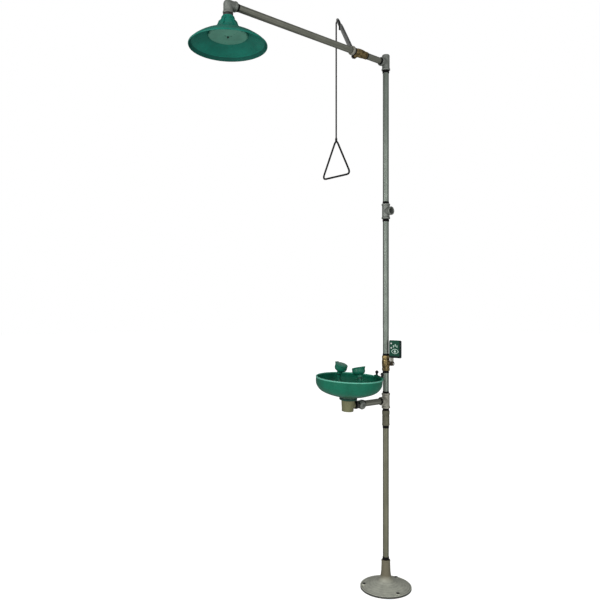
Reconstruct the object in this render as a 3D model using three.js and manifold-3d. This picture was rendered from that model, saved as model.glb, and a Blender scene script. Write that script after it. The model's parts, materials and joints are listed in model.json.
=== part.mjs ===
// Combination drench shower and eye/face wash on a pipe stanchion.
// Millimetres. +Z is up, and the origin is the centre of the floor flange's underside.
// The shower arm and the bowl reach forward, towards -Y. The user faces the unit from -Y.
import * as THREE from 'three';
import { mergeVertices } from 'three/addons/utils/BufferGeometryUtils.js';
import Module from 'manifold-3d';

const wasm = await Module();
wasm.setup();

// ---- driving dimensions ----
const GAP = 0.3; // clearance between pieces that touch on the real unit

// 3/4 in steel pipe and its threaded fittings
const PIPE_R = 13.45;
const POST_BORE_R = 9.0;
const PIPE_BORE_R = 11.3;
const SOCKET_R = PIPE_R + GAP;
const SOCKET_DEPTH = 14;
const ENTRY = 13; // how far a pipe end goes into a socket
const WATERWAY_R = 10.4;
const FITTING_R = 17.0;
const BAND_R = 19.2;
const BAND_LENGTH = 7;
const FITTING_HALF = 34; // centre to end of a tee or elbow
const CROWN = 36; // from the arm's axis up to the top fitting's closed end

// heights of the fittings on the post
const FLANGE_R = 114.3; // 9 in floor flange
const HUB_TOP = 128.5;
const HUB_SOCKET = 40;
const ADAPTER_LOW = 730;
const ADAPTER_HIGH = 797;
const BRANCH_Z = 841;
const EYE_VALVE_Z = 1009;
const SUPPLY_Z = 1690;
const ARM_Z = 2356;

// shower arm, as distances from the post's axis
const SHOWER_VALVE_REACH = 165;
const HEAD_REACH = 848;
const SLEEVE_START = 9; // beyond the shower valve's outlet end
const SLEEVE_LENGTH = 12;
const BELL_R = 143.5;
const BELL_HEIGHT = 109;
const BELL_WALL = 2.4;
const DEFLECTOR_R = 72;
const DEFLECTOR_Z = 35;
const SCREW_R = 2.4;
const BUSHING_LENGTH = 9.4; // from the bell's neck to the head elbow

// ball valves
const VALVE_HALF = 34;
const VALVE_FLATS = 31;
const BALL_R = 13.5;
const CAVITY_R = 14.2;
const BALL_BORE_R = 9.3;
const STEM_R = 5;
const STEM_FLAT = 3.6;
const BOSS_END = 28;
const PLATE_NEAR = 34.3; // near face of the handle plate on the stem
const PLATE_THICK = 3;
const STEM_END = 49;

// pull lever, rod and handle
const LEVER_ANGLE = THREE.MathUtils.degToRad(52);
const LEVER_LENGTH = 160;
const ROD_R = 3.2;
const HANDLE_R = 4;
const HOOK_R = 10;
const HOOK_TAIL = 44;
const HANDLE_TOP = 1976;
const HANDLE_BOTTOM = 1817;
const HANDLE_HALF = 88;

// eye/face wash branch
const BOWL_REACH = 239;
const BOWL_ROLL = THREE.MathUtils.degToRad(4); // the bowl leans a little on its nipple
const BOWL_R = 142;
const BOWL_TOP = 123; // rim height above the branch axis
const BOWL_FLOOR = 38;
const BOWL_WALL = 3;
const BRANCH_TEE_REACH = 174;
const BRANCH_TEE_HALF = 22;
const STUB_R = 10.65; // 1/2 in
const PORT_SEAT = 24.5; // where the stub stops, from the bowl's axis
const RISER_R = 7;
const YOKE_R = 8;
const YOKE_BORE_R = 5.4;
const HEAD_SPACING = 120;
const HEAD_R = 27;
const STUD_ANGLES = [77, 51]; // degrees from +X, seen from above

// push flag
const FLAG_WIDTH = 70;
const FLAG_HEIGHT = 78;
const FLAG_LOW = 27; // height of the plate's lower edge above the valve stem
const FLAG_LEFT = 31;
const FLAG_FACE = -13; // front face of the push plate
const TAB_WIDTH = 18;
const TAB_TOP = FLAG_LOW + FLAG_HEIGHT - 4;
const RIVET_X = 43.5;
const RIVET_HEIGHTS = [FLAG_LOW + 44, FLAG_LOW + 64];

// spray heads' hinges, from each head's own axis and foot
const HINGE_X = HEAD_R + 4;
const HINGE_Z = 35;
const KNUCKLE_R = 3.2;

// facets
const BIG = 28;
const MIDDLE = 16;
const ROUND = 12;
const SMALL = 8;

// ---- colours ----
const COLOURS = {
  galvanised: [0x868e88, 0.5, 0.85],
  cast: [0x8f938c, 0.65, 0.7],
  brass: [0x8a7442, 0.4, 0.9],
  steel: [0x8c9090, 0.35, 0.95],
  rod: [0x55595b, 0.45, 0.9],
  green: [0x1f6b50, 0.4, 0.0],
  deepGreen: [0x17584a, 0.4, 0.0],
  olive: [0x75775a, 0.45, 0.6],
  rubber: [0x1b1d1c, 0.8, 0.0],
  foam: [0x5a5f5c, 0.95, 0.0],
  ptfe: [0xe8e8e2, 0.5, 0.0],
};

// ---- geometry helpers ----

// Weld a geometry's vertices, drop flat triangles and turn its faces outward.
function closed(geometry) {
  const bare = geometry.index ? geometry.toNonIndexed() : geometry.clone();
  bare.deleteAttribute('normal');
  bare.deleteAttribute('uv');
  const welded = mergeVertices(bare, 1e-4);
  const p = welded.getAttribute('position');
  const source = welded.index.array;
  const kept = [];
  let volume = 0;
  const [a, b, c] = [new THREE.Vector3(), new THREE.Vector3(), new THREE.Vector3()];
  for (let i = 0; i < source.length; i += 3) {
    const [ia, ib, ic] = [source[i], source[i + 1], source[i + 2]];
    if (ia === ib || ib === ic || ic === ia) continue;
    kept.push(ia, ib, ic);
    a.fromBufferAttribute(p, ia);
    b.fromBufferAttribute(p, ib);
    c.fromBufferAttribute(p, ic);
    volume += a.dot(b.cross(c));
  }
  if (volume < 0) kept.reverse();
  welded.setIndex(kept);
  return welded;
}

function toSolid(geometry) {
  const g = closed(geometry);
  return new wasm.Manifold(new wasm.Mesh({
    numProp: 3,
    vertProperties: Float32Array.from(g.getAttribute('position').array),
    triVerts: Uint32Array.from(g.index.array),
  }));
}

function fromSolid(solid) {
  const m = solid.getMesh();
  const g = new THREE.BufferGeometry();
  g.setAttribute('position', new THREE.BufferAttribute(Float32Array.from(m.vertProperties), 3));
  g.setIndex([...m.triVerts]);
  return g;
}

// Join the first geometries and cut the rest away.
function carve(joined, cuts = []) {
  let solid = toSolid(joined[0]);
  for (const g of joined.slice(1)) solid = solid.add(toSolid(g));
  for (const g of cuts) solid = solid.subtract(toSolid(g));
  return fromSolid(solid);
}

// A body turned about Z from [radius, z] points. A profile that is off the axis closes on itself.
function turned(profile, segments = ROUND) {
  const points = profile.map(([r, z]) => new THREE.Vector2(r, z));
  const first = points[0];
  if (first.x > 0) points.push(first.clone());
  return closed(new THREE.LatheGeometry(points, segments).rotateX(Math.PI / 2));
}

function rod(radius, low, high, segments = ROUND) {
  return turned([[0, low], [radius, low], [radius, high], [0, high]], segments);
}

function ring(inner, outer, low, high, segments = ROUND) {
  return turned([[inner, low], [outer, low], [outer, high], [inner, high]], segments);
}

// A ring whose outer edges are chamfered.
function collar(inner, outer, low, high, chamfer, segments = ROUND) {
  return turned([
    [inner, low], [outer - chamfer, low], [outer, low + chamfer],
    [outer, high - chamfer], [outer - chamfer, high], [inner, high],
  ], segments);
}

function hexagon(acrossFlats, low, high) {
  return rod(acrossFlats / Math.sqrt(3), low, high, 6);
}

function box(x0, x1, y0, y1, z0, z1) {
  const g = new THREE.BoxGeometry(x1 - x0, y1 - y0, z1 - z0);
  return g.translate((x0 + x1) / 2, (y0 + y1) / 2, (z0 + z1) / 2);
}

// Lay a body that stands along Z down along +X, -Y or +Y.
const alongX = (g) => g.rotateY(Math.PI / 2);
const alongFront = (g) => g.rotateX(Math.PI / 2);
const alongBack = (g) => g.rotateX(-Math.PI / 2);

function circle(radius, hole = 0) {
  const shape = new THREE.Shape().absarc(0, 0, radius, 0, 2 * Math.PI, false);
  if (hole > 0) shape.holes.push(new THREE.Path().absarc(0, 0, hole, 0, 2 * Math.PI, true));
  return shape;
}

function tubeAlong(curve, radius, steps, sides) {
  return new THREE.ExtrudeGeometry(circle(radius), {
    steps, extrudePath: curve, bevelEnabled: false, curveSegments: sides,
  });
}

// Lines between points, with each inner corner rounded by a quadratic bend.
function bentPath(points, bend) {
  const path = new THREE.CurvePath();
  let start = points[0];
  for (let i = 1; i < points.length - 1; i += 1) {
    const corner = points[i];
    const into = corner.clone().sub(points[i - 1]).setLength(bend);
    const out = points[i + 1].clone().sub(corner).setLength(bend);
    const before = corner.clone().sub(into);
    const after = corner.clone().add(out);
    path.add(new THREE.LineCurve3(start, before));
    path.add(new THREE.QuadraticBezierCurve3(before, corner, after));
    start = after;
  }
  path.add(new THREE.LineCurve3(start, points[points.length - 1]));
  return path;
}

const v3 = (x, y, z) => new THREE.Vector3(x, y, z);

// ---- scene helpers ----
const station = new THREE.Group();

function piece(parent, name, geometry, look) {
  const [color, roughness, metalness] = COLOURS[look];
  const material = new THREE.MeshStandardMaterial({ color, roughness, metalness });
  const mesh = new THREE.Mesh(closed(geometry), material);
  mesh.name = name;
  parent.add(mesh);
  return mesh;
}

function group(parent, x, y, z, rx = 0, ry = 0, rz = 0) {
  const g = new THREE.Group();
  g.position.set(x, y, z);
  g.rotation.set(rx, ry, rz);
  parent.add(g);
  return g;
}

// ---- pipes and fittings ----

function pipe(low, high, bore) {
  return collar(bore, PIPE_R, low, high, 1);
}

// One banded leg of a fitting, standing from the centre along +Z.
function leg(half, band = BAND_R) {
  return turned([
    [0, -3], [FITTING_R, -3], [FITTING_R, half - BAND_LENGTH - 2], [band, half - BAND_LENGTH],
    [band, half - 1], [band - 1, half], [0, half],
  ]);
}

function legBore(half, socket = SOCKET_R, waterway = WATERWAY_R) {
  return turned([
    [0, -3], [waterway, -3], [waterway, half - SOCKET_DEPTH], [socket, half - SOCKET_DEPTH],
    [socket, half + 1], [0, half + 1],
  ]);
}

// A tee whose run is along Z and whose branch is laid by the given function.
function tee(lay) {
  return carve(
    [leg(FITTING_HALF), leg(FITTING_HALF).rotateX(Math.PI), lay(leg(FITTING_HALF))],
    [legBore(FITTING_HALF), legBore(FITTING_HALF).rotateX(Math.PI), lay(legBore(FITTING_HALF))],
  );
}

// A tee cast closed on top, with its open legs down and towards -Y.
function closedTee() {
  const crown = turned([
    [0, -3], [FITTING_R, -3], [FITTING_R, CROWN - 4], [FITTING_R - 1.2, CROWN - 1.2],
    [FITTING_R - 4, CROWN], [0, CROWN],
  ]);
  const chamber = turned([[0, -3], [WATERWAY_R, -3], [WATERWAY_R, 10], [6, 16], [0, 16]]);
  const down = (g) => g.rotateX(Math.PI);
  return carve(
    [crown, down(leg(FITTING_HALF)), alongFront(leg(FITTING_HALF))],
    [chamber, down(legBore(FITTING_HALF)), alongFront(legBore(FITTING_HALF))],
  );
}

// An elbow with one leg down and the other towards -Y, and a round back.
function elbow() {
  const heel = new THREE.SphereGeometry(FITTING_R, ROUND, SMALL).rotateX(Math.PI / 2);
  const down = (g) => g.rotateX(Math.PI);
  return carve(
    [heel, down(leg(FITTING_HALF)), alongFront(leg(FITTING_HALF))],
    [down(legBore(FITTING_HALF)), alongFront(legBore(FITTING_HALF)),
      new THREE.SphereGeometry(WATERWAY_R, SMALL, SMALL).rotateX(Math.PI / 2)],
  );
}

// ---- ball valve: run along Z, stem along +X, closed ----

function valveBody() {
  const shell = turned([
    [0, -24], [15.4, -24], [17, -15], [17.9, -6], [17.9, 10], [17.1, 17], [0, 17],
  ]);
  return carve(
    [shell, hexagon(VALVE_FLATS, -VALVE_HALF, -21), alongX(rod(9.5, 0, BOSS_END))],
    [
      rod(CAVITY_R, -15, 18),
      rod(9.5, -22, -14),
      rod(SOCKET_R, -VALVE_HALF - 1, -VALVE_HALF + SOCKET_DEPTH),
      alongX(rod(STEM_R + GAP, 8, BOSS_END + 1)),
    ],
  );
}

function valveEnd() {
  return carve(
    [rod(13.9, 15, 18), rod(16.6, 17 + GAP, 20), hexagon(VALVE_FLATS, 19, VALVE_HALF)],
    [rod(9.5, 14, 22), rod(SOCKET_R, VALVE_HALF - SOCKET_DEPTH, VALVE_HALF + 1)],
  );
}

function valveSeat() {
  return turned([[9.6, 10.4], [12.8, 6.6], [12.8, 14.7], [9.6, 14.7]]);
}

function valveBall() {
  return carve(
    [new THREE.SphereGeometry(BALL_R, ROUND, 10).rotateX(Math.PI / 2)],
    [alongFront(rod(BALL_BORE_R, -16, 16)), box(10.7, 16, -2.2, 2.2, -5.2, 5.2)],
  );
}

function glandNut() {
  return alongX(carve([hexagon(19, BOSS_END + GAP, 34)], [rod(STEM_R + GAP, 20, 40)]));
}

// The stem's outer end has two flats, so that the handle turns it.
function flatted(radius, flat, low, high) {
  const round = toSolid(rod(radius, low, high));
  const slab = toSolid(box(-radius - 1, radius + 1, -flat, flat, low - 1, high + 1));
  return fromSolid(round.intersect(slab));
}

function valveStem() {
  return alongX(carve([
    rod(STEM_R, 14, PLATE_NEAR - 0.6),
    flatted(STEM_R, STEM_FLAT, PLATE_NEAR - 1, STEM_END),
    box(-4.8, 4.8, -1.9, 1.9, 11.1, 14.5),
  ]));
}

function handleNut() {
  const near = PLATE_NEAR + PLATE_THICK + GAP;
  return alongX(carve([hexagon(17, near, near + 7)], [rod(STEM_R + GAP, near - 1, near + 8)]));
}

// All the fixed and turning pieces of one valve, named after it.
function valve(parent, prefix) {
  piece(parent, `${prefix}_valve_body`, valveBody(), 'brass');
  piece(parent, `${prefix}_valve_end`, valveEnd(), 'brass');
  piece(parent, `${prefix}_gland_nut`, glandNut(), 'brass');
  piece(parent, `${prefix}_seat_outlet`, valveSeat(), 'ptfe');
  piece(parent, `${prefix}_seat_inlet`, valveSeat().rotateX(Math.PI), 'ptfe');
  piece(parent, `${prefix}_ball`, valveBall(), 'steel');
  piece(parent, `${prefix}_stem`, valveStem(), 'steel');
  piece(parent, `${prefix}_handle_nut`, handleNut(), 'brass');
}

// ---- stand ----

function floorFlange() {
  const flare = new THREE.CubicBezierCurve(
    new THREE.Vector2(62, 25), new THREE.Vector2(34, 30),
    new THREE.Vector2(23, 42), new THREE.Vector2(20.8, 78),
  ).getPoints(4).map((p) => [p.x, p.y]);
  const plate = turned([
    [0, 0], [FLANGE_R - 1.5, 0], [FLANGE_R, 1.5], [FLANGE_R, 9.5], [FLANGE_R - 1.8, 11.5],
    [FLANGE_R - 5, 11.5], [FLANGE_R - 8, 9.5], ...flare, [19, HUB_TOP - 2], [17.6, HUB_TOP],
    [SOCKET_R, HUB_TOP], [SOCKET_R, HUB_TOP - HUB_SOCKET], [0, HUB_TOP - HUB_SOCKET],
  ], BIG);
  const joined = [plate];
  const cuts = [];
  for (const degrees of [104, 224, 344]) {
    const angle = THREE.MathUtils.degToRad(degrees);
    const [x, y] = [98 * Math.cos(angle), 98 * Math.sin(angle)];
    joined.push(rod(11, 2, 16).translate(x, y, 0));
    cuts.push(rod(5.5, -1, 18).translate(x, y, 0));
  }
  return carve(joined, cuts);
}

// Female below, with a male end above that screws straight into the tee.
function postAdapter() {
  const groove = (ADAPTER_LOW + ADAPTER_HIGH) / 2 + 8;
  const male = BRANCH_Z - FITTING_HALF + ENTRY;
  return turned([
    [POST_BORE_R, ADAPTER_LOW + SOCKET_DEPTH], [SOCKET_R, ADAPTER_LOW + SOCKET_DEPTH],
    [SOCKET_R, ADAPTER_LOW], [16.6, ADAPTER_LOW], [FITTING_R, ADAPTER_LOW + 2],
    [FITTING_R, groove], [16.4, groove + 1.5], [16.4, groove + 4], [FITTING_R, groove + 5.5],
    [FITTING_R, ADAPTER_HIGH - 2], [16.6, ADAPTER_HIGH], [PIPE_R, ADAPTER_HIGH],
    [PIPE_R, male - 1], [PIPE_R - 1, male], [POST_BORE_R, male],
  ]);
}

function buildPost() {
  piece(station, 'floor_flange', floorFlange(), 'cast');
  const lowerStart = HUB_TOP - HUB_SOCKET + 1;
  piece(station, 'lower_post', pipe(lowerStart, ADAPTER_LOW + ENTRY, POST_BORE_R), 'galvanised');
  piece(station, 'post_adapter', postAdapter(), 'galvanised');
  const teeHigh = BRANCH_Z + FITTING_HALF;
  piece(station, 'eyewash_tee', tee(alongFront).translate(0, 0, BRANCH_Z), 'galvanised');
  const valveLow = EYE_VALVE_Z - VALVE_HALF;
  const valveHigh = EYE_VALVE_Z + VALVE_HALF;
  piece(station, 'valve_nipple', pipe(teeHigh - ENTRY, valveLow + ENTRY, POST_BORE_R), 'galvanised');
  const supplyLow = SUPPLY_Z - FITTING_HALF;
  const supplyHigh = SUPPLY_Z + FITTING_HALF;
  piece(station, 'middle_post', pipe(valveHigh - ENTRY, supplyLow + ENTRY, POST_BORE_R), 'galvanised');
  piece(station, 'supply_tee', tee(alongX).translate(0, 0, SUPPLY_Z), 'galvanised');
  const topLow = ARM_Z - FITTING_HALF;
  piece(station, 'upper_post', pipe(supplyHigh - ENTRY, topLow + ENTRY, POST_BORE_R), 'galvanised');
  piece(station, 'top_tee', closedTee().translate(0, 0, ARM_Z), 'galvanised');
}

// ---- push flag on the eyewash valve ----

function flagStrap() {
  const outline = new THREE.Shape();
  outline.absarc(0, 0, 10, Math.PI, 2 * Math.PI, false);
  outline.lineTo(10, TAB_TOP);
  outline.lineTo(-10, TAB_TOP);
  const plate = new THREE.ExtrudeGeometry(outline, {
    depth: PLATE_THICK, bevelEnabled: false, curveSegments: SMALL,
  });
  // shape x lies along +Y, shape y along +Z, and the thickness along +X
  plate.applyMatrix4(new THREE.Matrix4().makeBasis(v3(0, 1, 0), v3(0, 0, 1), v3(1, 0, 0)));
  plate.translate(PLATE_NEAR, 0, 0);
  const tab = box(PLATE_NEAR, PLATE_NEAR + TAB_WIDTH, -10, -7.4, FLAG_LOW + 4, TAB_TOP);
  const far = PLATE_NEAR + PLATE_THICK + 1;
  const hole = alongX(flatted(STEM_R + GAP, STEM_FLAT + GAP, PLATE_NEAR - 1, far));
  return carve([plate, tab], [hole, ...RIVET_HEIGHTS.map(rivetBore)]);
}

function rivetBore(z) {
  return alongFront(rod(2.2 + GAP, 0, 20, SMALL)).translate(RIVET_X, 0, z);
}

function flagPlate() {
  const corner = 6;
  const [right, top] = [FLAG_WIDTH - corner, FLAG_HEIGHT - corner];
  const outline = new THREE.Shape();
  outline.absarc(right, corner, corner, -Math.PI / 2, 0, false);
  outline.absarc(right, top, corner, 0, Math.PI / 2, false);
  outline.absarc(corner, top, corner, Math.PI / 2, Math.PI, false);
  outline.absarc(corner, corner, corner, Math.PI, 1.5 * Math.PI, false);
  const plate = new THREE.ExtrudeGeometry(outline, {
    depth: 2.6, bevelEnabled: false, curveSegments: 5,
  });
  // shape x lies along +X, shape y along +Z, and the thickness along -Y
  plate.rotateX(Math.PI / 2).translate(FLAG_LEFT, FLAG_FACE + 2.6, FLAG_LOW);
  return carve([plate], RIVET_HEIGHTS.map(rivetBore));
}

function rivet() {
  return alongFront(turned([
    [0, 4.6], [4, 4.6], [4, 7.1], [2.2, 7.1], [2.2, -FLAG_FACE + GAP],
    [4.4, -FLAG_FACE + GAP], [3.4, -FLAG_FACE + 1.9], [0, -FLAG_FACE + 2.3],
  ], SMALL));
}

function buildEyewashValve() {
  const place = group(station, 0, 0, EYE_VALVE_Z);
  valve(place, 'eyewash');
  piece(place, 'flag_strap', flagStrap(), 'steel');
  piece(place, 'flag_plate', flagPlate(), 'green');
  const names = ['flag_rivet_lower', 'flag_rivet_upper'];
  RIVET_HEIGHTS.forEach((z, i) => {
    piece(place, names[i], rivet(), 'steel').position.set(RIVET_X, 0, z);
  });
}

// ---- shower arm, lever and pull ----

// Outline in the lever's plane: x runs from the stem to the rod hole, y across.
function lever() {
  const [base, tip] = [12, 9];
  const outline = new THREE.Shape();
  outline.absarc(0, 0, base, Math.PI / 2, 1.5 * Math.PI, false);
  outline.absarc(LEVER_LENGTH, 0, tip, -Math.PI / 2, Math.PI / 2, false);
  const flat = { depth: PLATE_THICK, bevelEnabled: false, curveSegments: SMALL };
  const parts = [new THREE.ExtrudeGeometry(outline, flat)];
  // a lip stands on each long edge, and runs out towards both ends
  const taper = Math.atan((base - tip) / LEVER_LENGTH);
  const lip = new THREE.Shape();
  lip.moveTo(16, 0);
  lip.lineTo(LEVER_LENGTH - 8, 0);
  lip.lineTo(LEVER_LENGTH - 26, 7);
  lip.lineTo(26, 7);
  for (const side of [-1, 1]) {
    const slab = new THREE.ExtrudeGeometry(lip, { depth: 2, bevelEnabled: false });
    slab.rotateX(Math.PI / 2).translate(0, side * (base - 1) + 1, 0).rotateZ(-side * taper);
    parts.push(slab);
  }
  // the stem's flats stay level, so the socket turns back by the lever's own angle
  const socket = flatted(STEM_R + GAP, STEM_FLAT + GAP, -1, PLATE_THICK + 1);
  socket.rotateZ(LEVER_ANGLE);
  const hole = rod(ROD_R + 1.1, -1, PLATE_THICK + 1, SMALL).translate(LEVER_LENGTH, 0, 0);
  return carve(parts, [socket, hole]);
}

// The rod runs up, over through the lever's hole and a short way down again.
function pullRodPath(x, y, z) {
  const steps = 8;
  const points = [v3(x - HOOK_R, y, HANDLE_TOP + 8 + GAP)];
  for (let i = 0; i <= steps; i += 1) {
    const a = Math.PI - (Math.PI * i) / steps;
    points.push(v3(x + HOOK_R * Math.cos(a), y, z - HOOK_R + HOOK_R * Math.sin(a)));
  }
  points.push(v3(x + HOOK_R, y, z - HOOK_TAIL));
  return points;
}

// Sweep a round section along straight stretches between corners in one XZ plane.
function sweptRod(corners, radius, sides) {
  const positions = [];
  const index = [];
  const across = v3(0, 1, 0);
  corners.forEach((corner, i) => {
    const before = corners[Math.max(i - 1, 0)];
    const after = corners[Math.min(i + 1, corners.length - 1)];
    const along = after.clone().sub(before).normalize();
    const side = across.clone().cross(along).normalize();
    for (let k = 0; k < sides; k += 1) {
      const a = (2 * Math.PI * k) / sides;
      const p = corner.clone().addScaledVector(across, radius * Math.sin(a));
      p.addScaledVector(side, radius * Math.cos(a));
      positions.push(p.x, p.y, p.z);
    }
  });
  for (let i = 0; i + 1 < corners.length; i += 1) {
    for (let k = 0; k < sides; k += 1) {
      const [a, b] = [i * sides + k, i * sides + ((k + 1) % sides)];
      index.push(a, b, b + sides, a, b + sides, a + sides);
    }
  }
  const last = (corners.length - 1) * sides;
  for (let k = 1; k + 1 < sides; k += 1) {
    index.push(0, k + 1, k, last, last + k, last + k + 1);
  }
  const g = new THREE.BufferGeometry();
  g.setAttribute('position', new THREE.Float32BufferAttribute(positions, 3));
  g.setIndex(index);
  return g;
}

// The triangular handle, bent from thicker rod and welded to the pull rod at the top.
function handle(x, y) {
  const top = HANDLE_TOP - 4;
  const path = bentPath([
    v3(x - 1.5, y, top), v3(x - HANDLE_HALF, y, HANDLE_BOTTOM),
    v3(x + HANDLE_HALF, y, HANDLE_BOTTOM), v3(x + 1.5, y, top),
  ], 20);
  const loop = tubeAlong(path, HANDLE_R, 36, 3);
  const weld = turned([[0, -12], [3.4, -12], [5, -6], [5, 3], [3.6, 8], [0, 8]], SMALL);
  return carve([loop, weld.translate(x, y, HANDLE_TOP)]);
}

function buildShowerArm() {
  // local z is the distance out along the arm, local y is up
  const arm = group(station, 0, 0, ARM_Z, Math.PI / 2);
  const valveIn = SHOWER_VALVE_REACH - VALVE_HALF;
  const valveOut = SHOWER_VALVE_REACH + VALVE_HALF;
  piece(arm, 'arm_nipple', pipe(FITTING_HALF - ENTRY, valveIn + ENTRY, PIPE_BORE_R), 'galvanised');
  const sleeveIn = valveOut + SLEEVE_START;
  const sleeve = collar(PIPE_R + GAP, 19, sleeveIn, sleeveIn + SLEEVE_LENGTH, 1.5);
  piece(arm, 'sleeve_ring', sleeve, 'galvanised');
  const elbowEnd = HEAD_REACH - FITTING_HALF;
  piece(arm, 'shower_arm', pipe(valveOut - ENTRY, elbowEnd + ENTRY, PIPE_BORE_R), 'galvanised');

  // the stem points to -X, so the valve is turned half round on the arm
  valve(group(arm, 0, 0, SHOWER_VALVE_REACH, 0, 0, Math.PI), 'shower');
  const along = v3(0, Math.sin(LEVER_ANGLE), Math.cos(LEVER_ANGLE));
  const inward = v3(1, 0, 0);
  const basis = new THREE.Matrix4().makeBasis(along, inward.clone().cross(along), inward);
  const place = group(arm, -(PLATE_NEAR + PLATE_THICK), 0, SHOWER_VALVE_REACH);
  place.quaternion.setFromRotationMatrix(basis);
  piece(place, 'pull_lever', lever(), 'steel');

  const x = -(PLATE_NEAR + PLATE_THICK / 2);
  const y = -(SHOWER_VALVE_REACH + LEVER_LENGTH * Math.cos(LEVER_ANGLE));
  const z = ARM_Z + LEVER_LENGTH * Math.sin(LEVER_ANGLE);
  piece(station, 'pull_rod', sweptRod(pullRodPath(x, y, z), ROD_R, SMALL), 'rod');
  piece(station, 'pull_handle', handle(x - HOOK_R, y), 'rod');
  const headElbow = group(station, 0, -HEAD_REACH, ARM_Z, 0, 0, Math.PI);
  piece(headElbow, 'head_elbow', elbow(), 'galvanised');
}

// ---- drench shower head ----

function bell() {
  const outer = new THREE.SplineCurve([
    [138, 10], [127, 19], [105, 33], [80, 44.5], [54, 57], [38, 71], [31.5, 86],
  ].map(([r, z]) => new THREE.Vector2(r, z))).getPoints(9).map((p) => [p.x, p.y]);
  const inner = [
    [30, 63], [52, 53.5], [79, 41.6], [103, 30.4], [124.5, 16.8], [136.5, 8],
  ];
  const shell = turned([
    [BELL_R - BELL_WALL, 0], [BELL_R, 0], [BELL_R, 6], ...outer, [30.5, 90], [22.5, 94],
    [22.5, BELL_HEIGHT - 2], [21, BELL_HEIGHT], [12.6, BELL_HEIGHT],
    [12.6, BELL_HEIGHT - 15], [9, BELL_HEIGHT - 15],
    [9, 62], [23, 58], ...inner, [BELL_R - BELL_WALL, 6],
  ], BIG);
  const joined = [shell];
  for (let i = 0; i < 6; i += 1) {
    const fin = new THREE.Shape();
    fin.moveTo(15, 105);
    fin.lineTo(24.4, 105);
    fin.lineTo(25.4, 96);
    fin.lineTo(33.5, 91);
    fin.lineTo(37.5, 80);
    fin.lineTo(48, 61);
    fin.lineTo(30, 66);
    const slab = new THREE.ExtrudeGeometry(fin, { depth: 4, bevelEnabled: false });
    slab.translate(0, 0, -2).rotateX(Math.PI / 2).rotateZ((i * Math.PI) / 3);
    joined.push(slab);
  }
  // a bridge across the neck carries the deflector's screw, and the water passes beside it
  joined.push(box(-4, 4, -12, 12, 56, 68));
  joined.push(rod(5.5, DEFLECTOR_Z + 3, 62, SMALL));
  return carve(joined, [rod(SCREW_R + GAP, 30, 56, SMALL)]);
}

function deflector() {
  const plate = turned([
    [0, DEFLECTOR_Z], [DEFLECTOR_R - 4, DEFLECTOR_Z], [DEFLECTOR_R, DEFLECTOR_Z + 3],
    [DEFLECTOR_R - 1, DEFLECTOR_Z + 5], [DEFLECTOR_R - 5, DEFLECTOR_Z + 2.6], [0, DEFLECTOR_Z + 2.6],
  ], BIG);
  const hole = (radius, reach, angle) => rod(radius, 30, 45, SMALL)
    .translate(reach * Math.cos(angle), reach * Math.sin(angle), 0);
  const cuts = [hole(SCREW_R + GAP, 0, 0)];
  for (let i = 0; i < 3; i += 1) cuts.push(hole(3, 12, (i * 2 * Math.PI) / 3 + 0.5));
  for (let i = 0; i < 12; i += 1) cuts.push(hole(4, DEFLECTOR_R, (i * Math.PI) / 6 + 0.2));
  return carve([plate], cuts);
}

function deflectorScrew() {
  return turned([
    [0, DEFLECTOR_Z - 3.4], [4, DEFLECTOR_Z - 2.4], [5, DEFLECTOR_Z - GAP],
    [SCREW_R, DEFLECTOR_Z - GAP], [SCREW_R, 54], [0, 54],
  ], SMALL);
}

// Screws down into the bell's neck and up into the elbow, with a hexagon between.
function headBushing() {
  const low = BELL_HEIGHT + GAP;
  const shoulder = low + BUSHING_LENGTH;
  const parts = [
    rod(12.3, BELL_HEIGHT - 13, low + 1),
    hexagon(36, low, shoulder),
    rod(PIPE_R, shoulder - 1, shoulder + ENTRY - 1),
  ];
  return carve(parts, [rod(9.8, 80, 140)]);
}

function buildShowerHead() {
  const bushingTop = BELL_HEIGHT + GAP + BUSHING_LENGTH + GAP;
  const head = group(station, 0, -HEAD_REACH, ARM_Z - FITTING_HALF - bushingTop);
  piece(head, 'shower_bell', bell(), 'deepGreen');
  piece(head, 'deflector_plate', deflector(), 'deepGreen');
  piece(head, 'head_bushing', headBushing(), 'galvanised');
  piece(head, 'deflector_screw', deflectorScrew(), 'steel');
}

// ---- eye/face wash ----

function branchTee() {
  const half = BRANCH_TEE_HALF;
  const back = (g) => g.rotateX(Math.PI);
  const small = turned([
    [0, -3], [8, -3], [8, half - SOCKET_DEPTH], [STUB_R + GAP, half - SOCKET_DEPTH],
    [STUB_R + GAP, half + 1], [0, half + 1],
  ]);
  const port = turned([[0, 0], [FITTING_R, 0], [FITTING_R, 18], [18.6, 20], [18.6, 25], [0, 25]]);
  return carve(
    [rod(FITTING_R, -6, 6), leg(half, 18.6), back(leg(half, 18.6)), alongX(port)],
    [back(legBore(half)), small, alongX(rod(WATERWAY_R, 0, 14)), alongX(rod(SOCKET_R, 12, 26))],
  );
}

// A round-headed plug with a square socket for the key.
function branchPlug() {
  const shank = rod(PIPE_R, 14, 26);
  const head = turned([
    [0, 25 + GAP], [16.5, 25 + GAP], [16.5, 28], [14.5, 30.5], [0, 30.5],
  ]);
  return alongX(carve([shank, head], [box(-4.5, 4.5, -4.5, 4.5, 27.5, 31)]));
}

function wasteCup() {
  const wall = 3.2;
  const shell = turned([
    [25.2 - wall, -23], [25.2, -23], [29, 25], [22, 25], [22, 45], [19.2, 45], [19.2, 22],
    [25.2, 20],
  ], MIDDLE);
  return carve(
    [shell, alongBack(rod(13.5, 15, 34))],
    [alongBack(rod(STUB_R + GAP, PORT_SEAT, 36)), alongBack(rod(RISER_R + GAP, 14, 26))],
  );
}

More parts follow.
